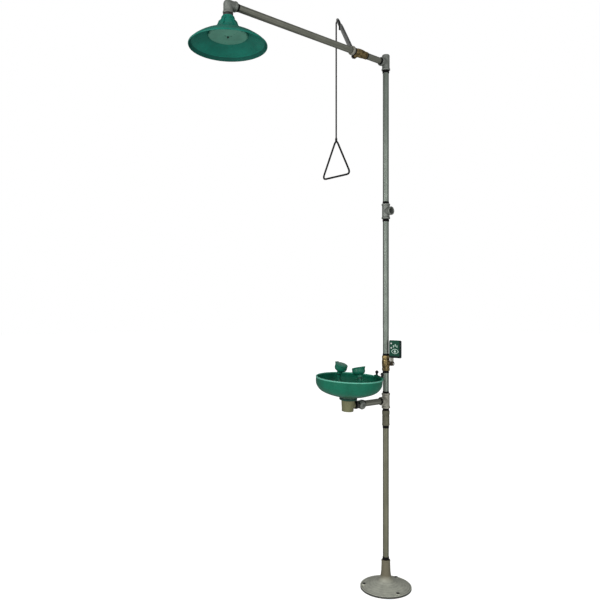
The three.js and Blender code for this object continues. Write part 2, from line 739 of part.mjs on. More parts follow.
// The feed goes in at the side of the cup, turns up and ends inside the yoke's hub.
function feedRiser() {
  const path = bentPath([v3(0, 20.8, 0), v3(0, 0, 0), v3(0, 0, 58)], 11);
  return new THREE.ExtrudeGeometry(circle(RISER_R, 5), {
    steps: 12, extrudePath: path, bevelEnabled: false, curveSegments: 5,
  });
}

function bowl() {
  const floor = BOWL_FLOOR;
  const sweep = new THREE.SplineCurve([
    [40, floor], [87.5, floor + 12.5], [120, floor + 27], [136.5, floor + 46], [141, floor + 62],
  ].map(([r, z]) => new THREE.Vector2(r, z))).getPoints(7);
  const outer = sweep.map((p) => [p.x, p.y]);
  const inner = sweep.map((p, i) => {
    const before = sweep[Math.max(i - 1, 0)];
    const after = sweep[Math.min(i + 1, sweep.length - 1)];
    const t = after.clone().sub(before).normalize();
    return [p.x - t.y * BOWL_WALL, p.y + t.x * BOWL_WALL];
  }).reverse();
  return turned([
    [24.5, floor], ...outer, [BOWL_R - 0.6, BOWL_TOP - 6], [BOWL_R, BOWL_TOP - 4],
    [BOWL_R, BOWL_TOP - 1], [BOWL_R - 1, BOWL_TOP], [BOWL_R - 4.5, BOWL_TOP],
    [BOWL_R - 5.3, BOWL_TOP - 1.5], [BOWL_R - 4.2, BOWL_TOP - 5], ...inner,
    [24.5, floor + BOWL_WALL],
  ], BIG);
}

function strainer() {
  const low = BOWL_FLOOR + BOWL_WALL + GAP;
  const cap = turned([
    [RISER_R + 0.6, 47], [15, 46], [22.4, 46], [22.4, low], [33, low], [33, low + 1.2], [25, 47.6],
    [16, 48.4], [RISER_R + 0.6, 49.4],
  ], MIDDLE);
  const tail = ring(16.4, 18.8, 30, 47);
  const cuts = [];
  for (let i = 0; i < 8; i += 1) {
    const a = (i * Math.PI) / 4;
    cuts.push(rod(2.1, 40, 55, 8).translate(12.2 * Math.cos(a), 12.2 * Math.sin(a), 0));
  }
  return carve([cap, tail], cuts);
}

// Each arm of the yoke runs out from the hub and curls up to its spray head.
function armCurve(side) {
  return new THREE.CubicBezierCurve3(
    v3(0, 0, 64), v3(side * 46, 0, 57), v3(side * 74, 0, 88),
    v3((side * HEAD_SPACING) / 2, 0, 134),
  );
}

// A hub over the riser's end with two hollow arms.
function feedYoke() {
  const hub = turned([[0, 50], [12.5, 50], [12.5, 71], [7.5, 76], [0, 76]]);
  const joined = [hub];
  const cuts = [rod(RISER_R + GAP, 49, 60), rod(YOKE_BORE_R, 58, 70)];
  for (const side of [-1, 1]) {
    joined.push(tubeAlong(armCurve(side), YOKE_R, 10, 6));
    cuts.push(tubeAlong(armCurve(side), YOKE_BORE_R, 10, 4));
    // opens the mouth fully, past the flat end of the bore
    cuts.push(headPlaced(rod(YOKE_BORE_R, -3, 2, SMALL), side));
  }
  return carve(joined, cuts);
}

// Where a spray head stands: on the arm's end, leaning the way the arm points.
function headMatrix(side) {
  const curve = armCurve(side);
  const up = curve.getTangent(1);
  const out = v3(0, side, 0).cross(up).normalize();
  const matrix = new THREE.Matrix4().makeBasis(out, up.clone().cross(out), up);
  return matrix.setPosition(curve.getPoint(1));
}

function headPlaced(geometry, side) {
  return geometry.applyMatrix4(headMatrix(side));
}

// A hinge knuckle: a short barrel across the head with a web to what carries it.
function knuckle(y0, y1, web) {
  const barrel = alongBack(rod(KNUCKLE_R, y0, y1, SMALL)).translate(HINGE_X, 0, HINGE_Z);
  return [barrel, box(web[0], HINGE_X, y0, y1, web[1], web[2])];
}

// Each web: where it starts out from the head's axis, and its lower and upper faces.
const CAP_WEB = [22, 34.3, 37.3];
const BODY_WEB = [25, 26, 33.8];

function hingePin(radius, half) {
  return alongBack(rod(radius, -half, half, SMALL)).translate(HINGE_X, 0, HINGE_Z);
}

function sprayBody() {
  const neck = YOKE_R + 2 * GAP;
  const shell = turned([
    [neck, -4], [10.8, -4], [11.6, -3], [11.6, 6.5], [18, 8.5], [24, 13], [HEAD_R, 19],
    [HEAD_R, 34], [23.5, 34], [23.5, 18], [9, 9.5], [6, 8], [6, GAP], [neck, GAP],
  ], MIDDLE);
  const lugs = [...knuckle(4.6, 8.6, BODY_WEB), ...knuckle(-8.6, -4.6, BODY_WEB)];
  const clear = rod(23.5, 18, 40, MIDDLE);
  return carve([shell, ...lugs], [clear, hingePin(1.5 + GAP, 12)]);
}

function sprayFace() {
  const cuts = [rod(2, 20, 40, SMALL)];
  for (let i = 0; i < 6; i += 1) {
    const a = (i * Math.PI) / 3;
    cuts.push(rod(2, 20, 40, SMALL).translate(13 * Math.cos(a), 13 * Math.sin(a), 0));
  }
  return carve([rod(23.2, 26.3, 29.3, MIDDLE)], cuts);
}

function dustCap() {
  const lid = turned([
    [0, 31.5], [22.6, 31.5], [22.6, 34 + GAP], [HEAD_R, 34 + GAP], [HEAD_R, 36.5],
    [HEAD_R - 1.5, 38], [0, 38.8],
  ], MIDDLE);
  return carve([lid, ...knuckle(-4.2, 4.2, CAP_WEB), hingePin(1.5, 8.4)]);
}

// A clip over the bowl's rim that carries two round-headed studs.
function rimClip() {
  const reach = BOWL_R - 2.6;
  const [from, to] = [Math.min(...STUD_ANGLES) - 5, Math.max(...STUD_ANGLES) + 5];
  const sector = new THREE.Shape();
  sector.moveTo(0, 0);
  for (const degrees of [from, (from + to) / 2, to]) {
    const a = THREE.MathUtils.degToRad(degrees);
    sector.lineTo(2 * BOWL_R * Math.cos(a), 2 * BOWL_R * Math.sin(a));
  }
  const wedge = new THREE.ExtrudeGeometry(sector, { depth: BOWL_TOP + 10, bevelEnabled: false });
  const band = ring(BOWL_R - 8.2, BOWL_R + 2.4, BOWL_TOP - 9, BOWL_TOP + 3.5, BIG);
  const wall = ring(BOWL_R - 5.8, BOWL_R + GAP, BOWL_TOP - 20, BOWL_TOP + GAP, BIG);
  const saddle = toSolid(band).intersect(toSolid(wedge)).subtract(toSolid(wall));
  const studs = STUD_ANGLES.map((degrees) => {
    const a = THREE.MathUtils.degToRad(degrees);
    const knob = new THREE.SphereGeometry(7.4, 12, SMALL).rotateX(Math.PI / 2);
    const stem = rod(4.6, BOWL_TOP + 2, BOWL_TOP + 15, SMALL);
    return carve([stem, knob.translate(0, 0, BOWL_TOP + 17)])
      .translate(reach * Math.cos(a), reach * Math.sin(a), 0);
  });
  return carve([fromSolid(saddle), ...studs]);
}

function buildEyewash() {
  const branch = group(station, 0, 0, BRANCH_Z, Math.PI / 2, 0, -BOWL_ROLL);
  const teeIn = BRANCH_TEE_REACH - BRANCH_TEE_HALF;
  const teeOut = BRANCH_TEE_REACH + BRANCH_TEE_HALF;
  piece(branch, 'bowl_nipple', pipe(FITTING_HALF - ENTRY, teeIn + ENTRY, PIPE_BORE_R), 'galvanised');
  const fitting = group(branch, 0, 0, BRANCH_TEE_REACH);
  piece(fitting, 'branch_tee', branchTee(), 'galvanised');
  piece(fitting, 'branch_plug', branchPlug(), 'galvanised');
  const stub = collar(7.8, STUB_R, teeOut - ENTRY, BOWL_REACH - PORT_SEAT - GAP, 0.6);
  piece(branch, 'feed_stub', stub, 'brass');

  // local z is up again, from the branch's axis
  const wash = group(branch, 0, 0, BOWL_REACH, -Math.PI / 2);
  piece(wash, 'waste_cup', wasteCup(), 'olive');
  piece(wash, 'feed_riser', feedRiser(), 'brass');
  piece(wash, 'bowl_clamp', collar(22 + GAP, 38, 25 + GAP, 35, 2, MIDDLE), 'deepGreen');
  piece(wash, 'bowl_gasket', ring(22 + GAP, 36, 35 + GAP, BOWL_FLOOR - GAP, MIDDLE), 'rubber');
  piece(wash, 'bowl', bowl(), 'green');
  piece(wash, 'strainer', strainer(), 'green');
  piece(wash, 'feed_yoke', feedYoke(), 'green');
  for (const [side, name] of [[-1, 'left'], [1, 'right']]) {
    piece(wash, `spray_body_${name}`, headPlaced(sprayBody(), side), 'green');
    piece(wash, `spray_filter_${name}`, headPlaced(rod(23.2, 18, 26, MIDDLE), side), 'foam');
    piece(wash, `spray_face_${name}`, headPlaced(sprayFace(), side), 'green');
    piece(wash, `dust_cap_${name}`, headPlaced(dustCap(), side), 'green');
  }
  piece(wash, 'rim_clip', rimClip(), 'rubber');
}

buildPost();
buildEyewashValve();
buildShowerArm();
buildShowerHead();
buildEyewash();

export default station;
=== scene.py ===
"""Looks for a combined drench shower and eyewash station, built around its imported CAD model.

Metres, in the CAD model's frame: +Z is up, the shower arm and the bowl reach towards -Y,
the pull lever is on the -X side of the post and the push flag on its +X side.
"""
import json
import math

import bmesh
import bpy
from mathutils import Matrix, Vector


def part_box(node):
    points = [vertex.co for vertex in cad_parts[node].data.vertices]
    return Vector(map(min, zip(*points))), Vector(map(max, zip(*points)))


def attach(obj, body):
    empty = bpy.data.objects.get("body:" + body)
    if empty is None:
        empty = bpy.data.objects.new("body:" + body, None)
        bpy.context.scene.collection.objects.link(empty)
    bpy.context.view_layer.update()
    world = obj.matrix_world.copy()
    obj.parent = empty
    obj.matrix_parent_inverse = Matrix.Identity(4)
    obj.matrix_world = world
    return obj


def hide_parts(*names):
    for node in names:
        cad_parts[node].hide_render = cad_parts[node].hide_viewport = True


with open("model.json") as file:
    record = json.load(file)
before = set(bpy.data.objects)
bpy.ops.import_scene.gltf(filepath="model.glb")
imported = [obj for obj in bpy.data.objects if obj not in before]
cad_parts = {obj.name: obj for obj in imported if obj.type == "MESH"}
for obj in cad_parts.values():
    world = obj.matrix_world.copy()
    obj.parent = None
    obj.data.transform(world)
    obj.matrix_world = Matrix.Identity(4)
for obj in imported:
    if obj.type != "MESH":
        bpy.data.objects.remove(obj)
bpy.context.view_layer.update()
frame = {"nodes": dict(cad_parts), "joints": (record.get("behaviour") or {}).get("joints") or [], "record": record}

MM = 0.001


# ---- places, read from the frame ----

def low(node):
    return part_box(node)[0]


def high(node):
    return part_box(node)[1]


def middle(node):
    return (low(node) + high(node)) / 2


JOINTS = {joint["name"]: joint for joint in frame["joints"]}
CAP_HINGES = {side: Vector(JOINTS[f"cap_{side}_hinge"]["pos_m"]) for side in ("left", "right")}

PIPE_R = high("lower_post").x
FITTING_R = high("post_adapter").x
BAND_R = high("eyewash_tee").x
FITTING_HALF = (high("eyewash_tee").z - low("eyewash_tee").z) / 2
BRANCH_Z = middle("eyewash_tee").z
SUPPLY_Z = middle("supply_tee").z
EYE_VALVE_Z = Vector(JOINTS["eyewash_flag_turn"]["pos_m"]).z
LEVER_PIVOT = Vector(JOINTS["shower_lever_turn"]["pos_m"])
ARM_Z = LEVER_PIVOT.z
VALVE_REACH = -LEVER_PIVOT.y
ROD_HOOK = Vector(JOINTS["pull_hang"]["pos_m"])
HEAD_REACH = -middle("shower_bell").y
VALVE_HALF = EYE_VALVE_Z - low("eyewash_valve_body").z

SLOTS = {part["node"]: part["material_slot"] for part in frame["record"]["subparts"]}
BODIES = {node: body for body, nodes in frame["record"]["behaviour"]["bodies"].items()
          for node in nodes}

ACROSS_CAPS = CAP_HINGES["right"] - CAP_HINGES["left"]
BOWL_ROLL = math.atan2(-ACROSS_CAPS.z, ACROSS_CAPS.x)
BOWL_REACH = -middle("bowl").y

LYING = Matrix.Rotation(math.radians(90), 4, "X")  # local z points to -Y and local y up
ARM = Matrix.Translation((0, 0, ARM_Z)) @ LYING
BRANCH = Matrix.Translation((0, 0, BRANCH_Z)) @ LYING @ Matrix.Rotation(-BOWL_ROLL, 4, "Z")
WASH = BRANCH @ Matrix.Translation((0, 0, BOWL_REACH)) @ LYING.inverted()
UPRIGHT = Matrix.Identity(4)
TO_RIGHT = Matrix.Rotation(math.radians(90), 4, "Y")  # local z points to +X
TO_LEFT = Matrix.Rotation(math.radians(-90), 4, "Y")
TO_BACK = Matrix.Rotation(math.radians(-90), 4, "X")
UPSIDE_DOWN = Matrix.Rotation(math.pi, 4, "X")

# sizes in millimetres that a bounding box doesn't tell
SOCKET_BORE = PIPE_R / MM + 0.3
SOCKET_DEPTH = 13.7
WATERWAY = 10.4
PIPE_BORE = 10.5
THREAD_PITCH = 1.81
FLANGE_BOLTS = (104, 224, 344)  # degrees
BOLT_REACH = 98
VALVE_FLATS = 31
HANDLE_R = 4
BOWL_R = 142
BOWL_FLOOR = 38
BOWL_TOP = 123
BOWL_WALL = 3
SPRAY_R = 27
STUD_ANGLES = (51, 77)  # degrees
MELT = 0.9 * MM  # how finely a casting's legs are melted together


def raised(z):
    return Matrix.Translation((0, 0, z))


# ---- shapes: each is a list of points, in metres, and a list of faces ----

def rounded(points, radius, steps=3, loop=True):
    """The points with each corner turned into a small curve, as far as its sides allow."""
    points = [Vector(p) for p in points]
    out = []
    for i, corner in enumerate(points):
        if not loop and i in (0, len(points) - 1):
            out.append(corner)
            continue
        before = points[i - 1] - corner
        after = points[(i + 1) % len(points)] - corner
        start = corner + before.normalized() * min(radius, before.length * 0.45)
        end = corner + after.normalized() * min(radius, after.length * 0.45)
        for k in range(steps + 1):
            t = k / steps
            out.append(start * (1 - t) ** 2 + corner * 2 * t * (1 - t) + end * t ** 2)
    return out


def spline(points, steps):
    """A smooth curve through the points."""
    points = [Vector(p) for p in points]
    padded = [points[0] * 2 - points[1], *points, points[-1] * 2 - points[-2]]
    out = []
    for i in range(1, len(padded) - 2):
        a, b, c, d = padded[i - 1:i + 3]
        for k in range(steps):
            t = k / steps
            out.append((b * 2 + (c - a) * t + (a * 2 - b * 5 + c * 4 - d) * t ** 2
                        + (b * 3 - a - c * 3 + d) * t ** 3) / 2)
    return [*out, points[-1]]


def lathe(profile, segments, across=None):
    """A body turned about Z from (radius, z) in millimetres. With across, six flats cut it."""
    points, faces, rings = [], [], []
    for radius, z in profile:
        count = 1 if radius < 1e-6 else segments
        rings.append(range(len(points), len(points) + count))
        for k in range(count):
            angle = 2 * math.pi * k / segments
            reach = radius
            if across:
                off_flat = (angle + math.pi / 6) % (math.pi / 3) - math.pi / 6
                reach = min(radius, across / 2 / math.cos(off_flat))
            points.append(Vector((reach * math.cos(angle), reach * math.sin(angle), z)) * MM)
    pairs = [(a, b) for a, b in zip(rings, rings[1:]) if len(a) + len(b) > 2]
    if profile[0][0] > 1e-6:
        pairs.append((rings[-1], rings[0]))
    for a, b in pairs:
        for k in range(segments):
            n = (k + 1) % segments
            corners = [a[k % len(a)], a[n % len(a)], b[n % len(b)], b[k % len(b)]]
            faces.append(list(dict.fromkeys(corners)))
    return points, faces


def soft_lathe(profile, radius=0.6, segments=64):
    """A turned body whose corners are rounded. Its profile may start and end on the axis."""
    on_axis = profile[0][0] < 1e-6
    return lathe(rounded(profile, radius, loop=not on_axis), segments)


def swept(path, radius, sides, closed=False):
    """A round rod along a path in metres, with rounded ends where it isn't closed."""
    path = [Vector(p) for p in path]
    count = len(path)
    points, faces, rings = [], [], []
    side = None
    for i, centre in enumerate(path):
        ahead = path[(i + 1) % count] if closed or i + 1 < count else centre
        behind = path[i - 1] if closed or i > 0 else centre
        along = (ahead - behind).normalized()
        if side is None:
            side = along.orthogonal()
        side = (side - along * side.dot(along)).normalized()
        up = along.cross(side)
        rings.append(range(len(points), len(points) + sides))
        for k in range(sides):
            a = 2 * math.pi * k / sides
            points.append(centre + (side * math.cos(a) + up * math.sin(a)) * radius)
    pairs = list(zip(rings, rings[1:]))
    if closed:
        pairs.append((rings[-1], rings[0]))
    for a, b in pairs:
        faces += [[a[k], a[(k + 1) % sides], b[(k + 1) % sides], b[k]] for k in range(sides)]
    if not closed:
        faces += [list(rings[0]), list(rings[-1])]
    return points, faces


def slab(outline, low_z, high_z):
    """A flat outline in millimetres, made thick between two heights."""
    count = len(outline)
    points = [Vector((p[0], p[1], z)) * MM for z in (low_z, high_z) for p in outline]
    faces = [list(range(count)), list(range(count, 2 * count))]
    faces += [[k, (k + 1) % count, (k + 1) % count + count, k + count] for k in range(count)]
    return points, faces


def block(x0, x1, y0, y1, z0, z1):
    return slab([(x0, y0), (x1, y0), (x1, y1), (x0, y1)], z0, z1)


def moved(shape, matrix):
    return [matrix @ p for p in shape[0]], shape[1]


def shifted(shape, x=0, y=0, z=0):
    return moved(shape, Matrix.Translation(Vector((x, y, z)) * MM))


def around(shape, reach, count, first=0.0):
    """Copies of a shape on a circle about Z, not turned, from the angle of the first."""
    angles = [first + 2 * math.pi * i / count for i in range(count)]
    return [shifted(shape, reach * math.cos(a), reach * math.sin(a)) for a in angles]


def together(*shapes):
    points, faces = [], []
    for shape in shapes:
        start = len(points)
        points += shape[0]
        faces += [[start + i for i in face] for face in shape[1]]
    return points, faces


def added(name, data):
    obj = bpy.data.objects.new(name, data)
    bpy.context.scene.collection.objects.link(obj)
    return obj


def mesh_of(shape, name):
    mesh = bpy.data.meshes.new(name)
    mesh.from_pydata(shape[0], [], shape[1])
    edit = bmesh.new()
    edit.from_mesh(mesh)
    bmesh.ops.recalc_face_normals(edit, faces=edit.faces)
    edit.to_mesh(mesh)
    edit.free()
    return mesh


def carved(parts, cuts=(), voxel=None, passes=0):
    """The parts as one body, melted together where a voxel size is given, less the cuts."""
    body = added("carving", mesh_of(together(*parts), "carving"))
    made = [body]
    if voxel:
        remesh = body.modifiers.new("melt", "REMESH")
        remesh.mode = "VOXEL"
        remesh.voxel_size = voxel
        smooth = body.modifiers.new("soften", "SMOOTH")
        smooth.iterations = passes
    for i, cut in enumerate(cuts):
        cutter = added(f"cutter_{i}", mesh_of(cut, f"cutter_{i}"))
        made.append(cutter)
        difference = body.modifiers.new(f"cut_{i}", "BOOLEAN")
        difference.operation = "DIFFERENCE"
        difference.solver = "EXACT"
        difference.object = cutter
    bpy.context.view_layer.update()
    result = body.evaluated_get(bpy.context.evaluated_depsgraph_get()).to_mesh()
    shape = ([v.co.copy() for v in result.vertices], [list(p.vertices) for p in result.polygons])
    for obj in made:
        bpy.data.objects.remove(obj)
    return shape


# ---- materials ----

class Look:
    """A procedural material, built node by node. Its patterns lie in the object's own space."""

    def __init__(self, name, color, roughness, metallic=0.0, **sockets):
        self.material = bpy.data.materials.new(name)
        self.material.use_nodes = True
        self.nodes = self.material.node_tree.nodes
        self.links = self.material.node_tree.links
        self.shader = self.nodes["Principled BSDF"]
        self.shader.inputs["Base Color"].default_value = (*color, 1)
        self.shader.inputs["Roughness"].default_value = roughness
        self.shader.inputs["Metallic"].default_value = metallic
        for socket, value in sockets.items():
            self.shader.inputs[socket.replace("_", " ")].default_value = value
        self.place = self.nodes.new("ShaderNodeTexCoord").outputs["Object"]

    def stretched(self, scale):
        node = self.nodes.new("ShaderNodeMapping")
        self.links.new(self.place, node.inputs["Vector"])
        node.inputs["Scale"].default_value = scale
        return node.outputs["Vector"]

    def noise(self, scale, detail, stretch=None, roughness=0.5):
        node = self.nodes.new("ShaderNodeTexNoise")
        node.inputs["Scale"].default_value = scale
        node.inputs["Detail"].default_value = detail
        node.inputs["Roughness"].default_value = roughness
        self.links.new(self.stretched(stretch) if stretch else self.place, node.inputs["Vector"])
        return node.outputs["Fac"]

    def cells(self, scale, output="Color"):
        node = self.nodes.new("ShaderNodeTexVoronoi")
        node.inputs["Scale"].default_value = scale
        self.links.new(self.place, node.inputs["Vector"])
        return node.outputs[output]

    def turned_rings(self, scale):
        node = self.nodes.new("ShaderNodeTexWave")
        node.wave_type = "RINGS"
        node.rings_direction = "Z"
        node.inputs["Scale"].default_value = scale
        node.inputs["Distortion"].default_value = 2.5
        node.inputs["Detail"].default_value = 2.0
        node.inputs["Detail Scale"].default_value = 1.5
        self.links.new(self.place, node.inputs["Vector"])
        return node.outputs["Fac"]

    def spread(self, value, low_in, high_in, low_out=0.0, high_out=1.0):
        node = self.nodes.new("ShaderNodeMapRange")
        self.links.new(value, node.inputs["Value"])
        for socket, number in zip(("From Min", "From Max", "To Min", "To Max"),
                                  (low_in, high_in, low_out, high_out)):
            node.inputs[socket].default_value = number
        return node.outputs["Result"]

    def height(self, low_z, high_z):
        node = self.nodes.new("ShaderNodeSeparateXYZ")
        self.links.new(self.place, node.inputs["Vector"])
        return self.spread(node.outputs["Z"], low_z, high_z)

    def blended(self, amount, first, second):
        """A colour between two, each a colour or a socket."""
        node = self.nodes.new("ShaderNodeMix")
        node.data_type = "RGBA"
        if isinstance(amount, float):
            node.inputs["Factor"].default_value = amount
        else:
            self.links.new(amount, node.inputs["Factor"])
        for socket, value in zip(("A", "B"), (first, second)):
            target = [i for i in node.inputs if i.name == socket and i.type == "RGBA"][0]
            if isinstance(value, tuple):
                target.default_value = (*value, 1)
            else:
                self.links.new(value, target)
        return [o for o in node.outputs if o.type == "RGBA"][0]

    def paint(self, color):
        self.links.new(color, self.shader.inputs["Base Color"])

    def rough(self, value):
        self.links.new(value, self.shader.inputs["Roughness"])

    def bump(self, *layers):
        """Each layer is (height, strength, depth in metres)."""
        normal = None
        for height, strength, depth in layers:
            node = self.nodes.new("ShaderNodeBump")
            node.inputs["Strength"].default_value = strength
            node.inputs["Distance"].default_value = depth
            self.links.new(height, node.inputs["Height"])
            if normal:
                self.links.new(normal, node.inputs["Normal"])
            normal = node.outputs["Normal"]
        self.links.new(normal, self.shader.inputs["Normal"])


def toned(color, factor):
    return tuple(min(1.0, c * factor) for c in color)


def galvanised(name, color, stretch):
    """Hot-dip zinc: flat crystals, long drawn streaks and dull blotches."""
    look = Look(name, color, 0.45, metallic=0.8)
    crystals = look.spread(look.cells(260), 0.1, 0.9)
    streaks = look.spread(look.noise(1.0, 4, stretch), 0.34, 0.66)
    blotches = look.spread(look.noise(22, 4, roughness=0.6), 0.4, 0.62)
    zinc = look.blended(crystals, toned(color, 0.82), toned(color, 1.16))
    drawn = look.blended(streaks, toned(color, 0.55), toned(color, 1.45))
    mixed = look.blended(0.7, zinc, drawn)
    dull = look.blended(look.spread(blotches, 0.0, 1.0, 0.0, 0.35), mixed, toned(color, 0.62))
    look.paint(dull)
    look.rough(look.spread(crystals, 0, 1, 0.38, 0.55))
    look.bump((look.noise(1.0, 3, stretch), 0.25, 0.0004), (look.noise(900, 2), 0.2, 0.0002))
    return look.material


def casting(name, color, metallic=0.65, upper=None, mottle=1.0, rings=False):
    """Zinc-coated malleable iron: grainy, with darker hollows and rubbed high spots.

    Upper is another colour, reached between two heights. Rings are a turned plate's tool
    marks, and with them comes painted shade: the plate's edge goes near black down by the floor.
    """
    look = Look(name, color, 0.5, metallic=metallic)
    grain = look.noise(520, 4, roughness=0.65)
    blotches = look.spread(look.noise(45, 4, roughness=0.6), 0.38, 0.64)
    grains = look.spread(grain, 0.35, 0.7)
    dark, light = toned(color, 1 - 0.3 * mottle), toned(color, 1 + 0.2 * mottle)
    mottled = look.blended(blotches, dark, light)
    grained = look.blended(look.spread(grains, 0, 1, 0.15 * mottle, 0.5 * mottle), mottled,
                           toned(color, 1.35))
    if rings:
        marks = look.spread(look.turned_rings(26), 0.15, 0.85, 0.0, 0.3)
        grained = look.blended(marks, grained, toned(color, 1.5))
        # painted shade: the outer edge below 8.5 mm is darkened to near black
        grained = look.blended(look.height(0.0085, 0.0105), toned(color, 0.13), grained)
    if upper:
        other, low_z, high_z = upper
        grained = look.blended(look.height(low_z, high_z), grained, other)
    look.paint(grained)
    look.rough(look.spread(grain, 0.3, 0.7, 0.42, 0.68))
    look.bump((look.noise(130, 3), 0.25, 0.0008), (grain, 0.5, 0.0005))
    return look.material


def tarnished_brass(name, color):
    """Cast brass with brown tarnish in patches and rubbed bright spots."""
    look = Look(name, color, 0.38, metallic=0.9)
    patches = look.spread(look.noise(70, 4, roughness=0.65), 0.4, 0.58)
    specks = look.spread(look.noise(260, 3, roughness=0.6), 0.55, 0.68)
    bright = look.spread(look.noise(38, 2), 0.55, 0.75)
    aged = look.blended(patches, toned(color, 0.30), color)
    spotted = look.blended(specks, aged, toned(color, 0.16))
    look.paint(look.blended(bright, spotted, toned(color, 1.7)))
    look.rough(look.spread(patches, 0, 1, 0.55, 0.3))
    look.bump((look.noise(420, 4, roughness=0.6), 0.35, 0.0004), (specks, 0.3, 0.0003))
    return look.material


def moulded(name, color, roughness, shine=0.25):
    """Pigmented plastic: a faint cloudiness, orange peel and dusty scuffs."""
    look = Look(name, color, roughness, Specular_IOR_Level=shine)
    clouds = look.spread(look.noise(16, 4, roughness=0.6), 0.35, 0.68)
    scuffs = look.spread(look.noise(95, 5, roughness=0.7), 0.58, 0.74, 0.0, 0.14)
    base = look.blended(clouds, toned(color, 0.84), toned(color, 1.14))
    pale = tuple(0.75 * c + 0.09 for c in color)
    look.paint(look.blended(scuffs, base, pale))
    look.rough(look.spread(look.noise(60, 4), 0.3, 0.7, roughness * 0.8, roughness * 1.3))
    look.bump((look.noise(340, 2), 0.12, 0.0004), (look.noise(2200, 2), 0.072, 0.0001))
    return look.material


def sheet_steel(name, color, roughness, grain, painted_shade=None):
    """Rolled or drawn steel with fine scratches along its length and dull patches.

    Painted shade darkens everything below its first height, on the end that is clamped round a valve stem, and
    fades out at its second.
    """
    look = Look(name, color, roughness, metallic=0.85)
    lines = look.noise(1.0, 4, grain)
    patches = look.spread(look.noise(55, 4, roughness=0.6), 0.4, 0.65)
    drawn = look.blended(look.spread(lines, 0.35, 0.65), toned(color, 0.75), toned(color, 1.25))
    patched = look.blended(look.spread(patches, 0, 1, 0, 0.45), drawn, toned(color, 0.6))
    # painted shade: near black below the first height, on the end round the stem
    if painted_shade:
        patched = look.blended(look.height(*painted_shade), toned(color, 0.12), patched)
    look.paint(patched)
    look.rough(look.spread(lines, 0.3, 0.7, roughness * 0.8, roughness * 1.25))
    look.bump((lines, 0.2, 0.0002), (look.noise(800, 2), 0.15, 0.0001))
    return look.material


def black_rubber(name, color):
    look = Look(name, color, 0.6, Specular_IOR_Level=0.15)
    dust = look.spread(look.noise(140, 5, roughness=0.7), 0.5, 0.8, 0.0, 0.3)
    look.paint(look.blended(dust, color, tuple(2 * c + 0.02 for c in color)))
    look.rough(look.spread(look.noise(70, 3), 0.3, 0.7, 0.51, 0.72))
    look.bump((look.noise(1400, 2), 0.3, 0.0002))
    return look.material


def open_foam(name, color):
    look = Look(name, color, 0.95)
    pores = look.cells(900, "Distance")
    # painted shade: each pore is darkened towards its middle
    look.paint(look.blended(look.spread(pores, 0, 0.7), toned(color, 0.25), color))
    look.bump((pores, 0.9, 0.0008))
    return look.material


ALONG_POST = (170, 170, 1.6)
ALONG_ARM = (170, 1.6, 170)
LOOKS = {
    "pipe_low": galvanised("pipe_low", (0.160, 0.160, 0.112), ALONG_POST),
    "pipe_high": galvanised("pipe_high", (0.185, 0.215, 0.185), ALONG_POST),
    "pipe_arm": galvanised("pipe_arm", (0.200, 0.205, 0.170), ALONG_ARM),
    "pale_zinc": casting("pale_zinc", (0.27, 0.265, 0.225)),
    # the rings also bring painted shade on the flange's outer edge
    "flange": casting("flange", (0.42, 0.43, 0.365), 0.35, mottle=0.7, rings=True,
                      upper=((0.155, 0.140, 0.094), 0.030, 0.062)),
    "fitting": casting("fitting", (0.170, 0.182, 0.165)),
    "fitting_brown": casting("fitting_brown", (0.112, 0.108, 0.074)),
    "fitting_dark": casting("fitting_dark", (0.03, 0.03, 0.028), 0.3),
    "brass": tarnished_brass("brass", (0.26, 0.19, 0.08)),
    # a darker copy of the brass: painted shade on the gland nuts; the handle nuts take the same darker brown
    "brass_dark_and_shade": tarnished_brass("brass_dark_and_shade", (0.10, 0.075, 0.045)),
    "olive": casting("olive", (0.145, 0.145, 0.072), 0.35, mottle=0.35),
    # painted shade darkens the lever from about the stem's axis down
    "lever": sheet_steel("lever", (0.26, 0.265, 0.26), 0.42, (300, 30, 30),
                         painted_shade=(ARM_Z - 3 * MM, ARM_Z + 6 * MM)),
    "rod": sheet_steel("rod", (0.014, 0.015, 0.015), 0.45, (500, 500, 20)),
    "handle": sheet_steel("handle", (0.012, 0.013, 0.013), 0.5, (500, 500, 500)),
    # painted shade darkens the strap from just above the eyewash valve's stem down
    "strap": sheet_steel("strap", (0.42, 0.41, 0.35), 0.45, (300, 300, 20),
                         painted_shade=(EYE_VALVE_Z + 4 * MM, EYE_VALVE_Z + 12 * MM)),
    "stainless": sheet_steel("stainless", (0.75, 0.76, 0.74), 0.4, (300, 300, 300)),
    "seal": black_rubber("seal", (0.002, 0.002, 0.002)),
    "rubber": black_rubber("rubber", (0.010, 0.011, 0.013)),
    # the gasket is real; its pale grey-green is a painted highlight for the bright line between bowl and clamp
    "gasket": black_rubber("gasket", (0.11, 0.15, 0.13)),
    "bowl": moulded("bowl", (0.006, 0.126, 0.074), 0.3, shine=0.14),
    # a pale green: painted highlight along the top of the bowl's lip
    "rim": moulded("rim", (0.10, 0.42, 0.30), 0.25, shine=0.5),
    "wash": moulded("wash", (0.006, 0.125, 0.075), 0.34),
    "clamp": moulded("clamp", (0.004, 0.045, 0.030), 0.4),
    "head": moulded("head", (0.007, 0.148, 0.106), 0.3, shine=0.12),
    # a darker copy of the head's green: painted shade for the bell's inner lip
    "head_painted_shade": moulded("head_painted_shade", (0.003, 0.078, 0.058), 0.3, shine=0.12),
    "deflector": moulded("deflector", (0.085, 0.270, 0.195), 0.34),
    "plate": moulded("plate", (0.003, 0.012, 0.010), 0.4),
    "sign": moulded("sign", (0.003, 0.060, 0.034), 0.4),
    "sign_print": moulded("sign_print", (0.50, 0.64, 0.56), 0.45),
    "seat": moulded("seat", (0.7, 0.7, 0.66), 0.45),
    "foam": open_foam("foam", (0.17, 0.19, 0.18)),
}


# ---- pieces ----

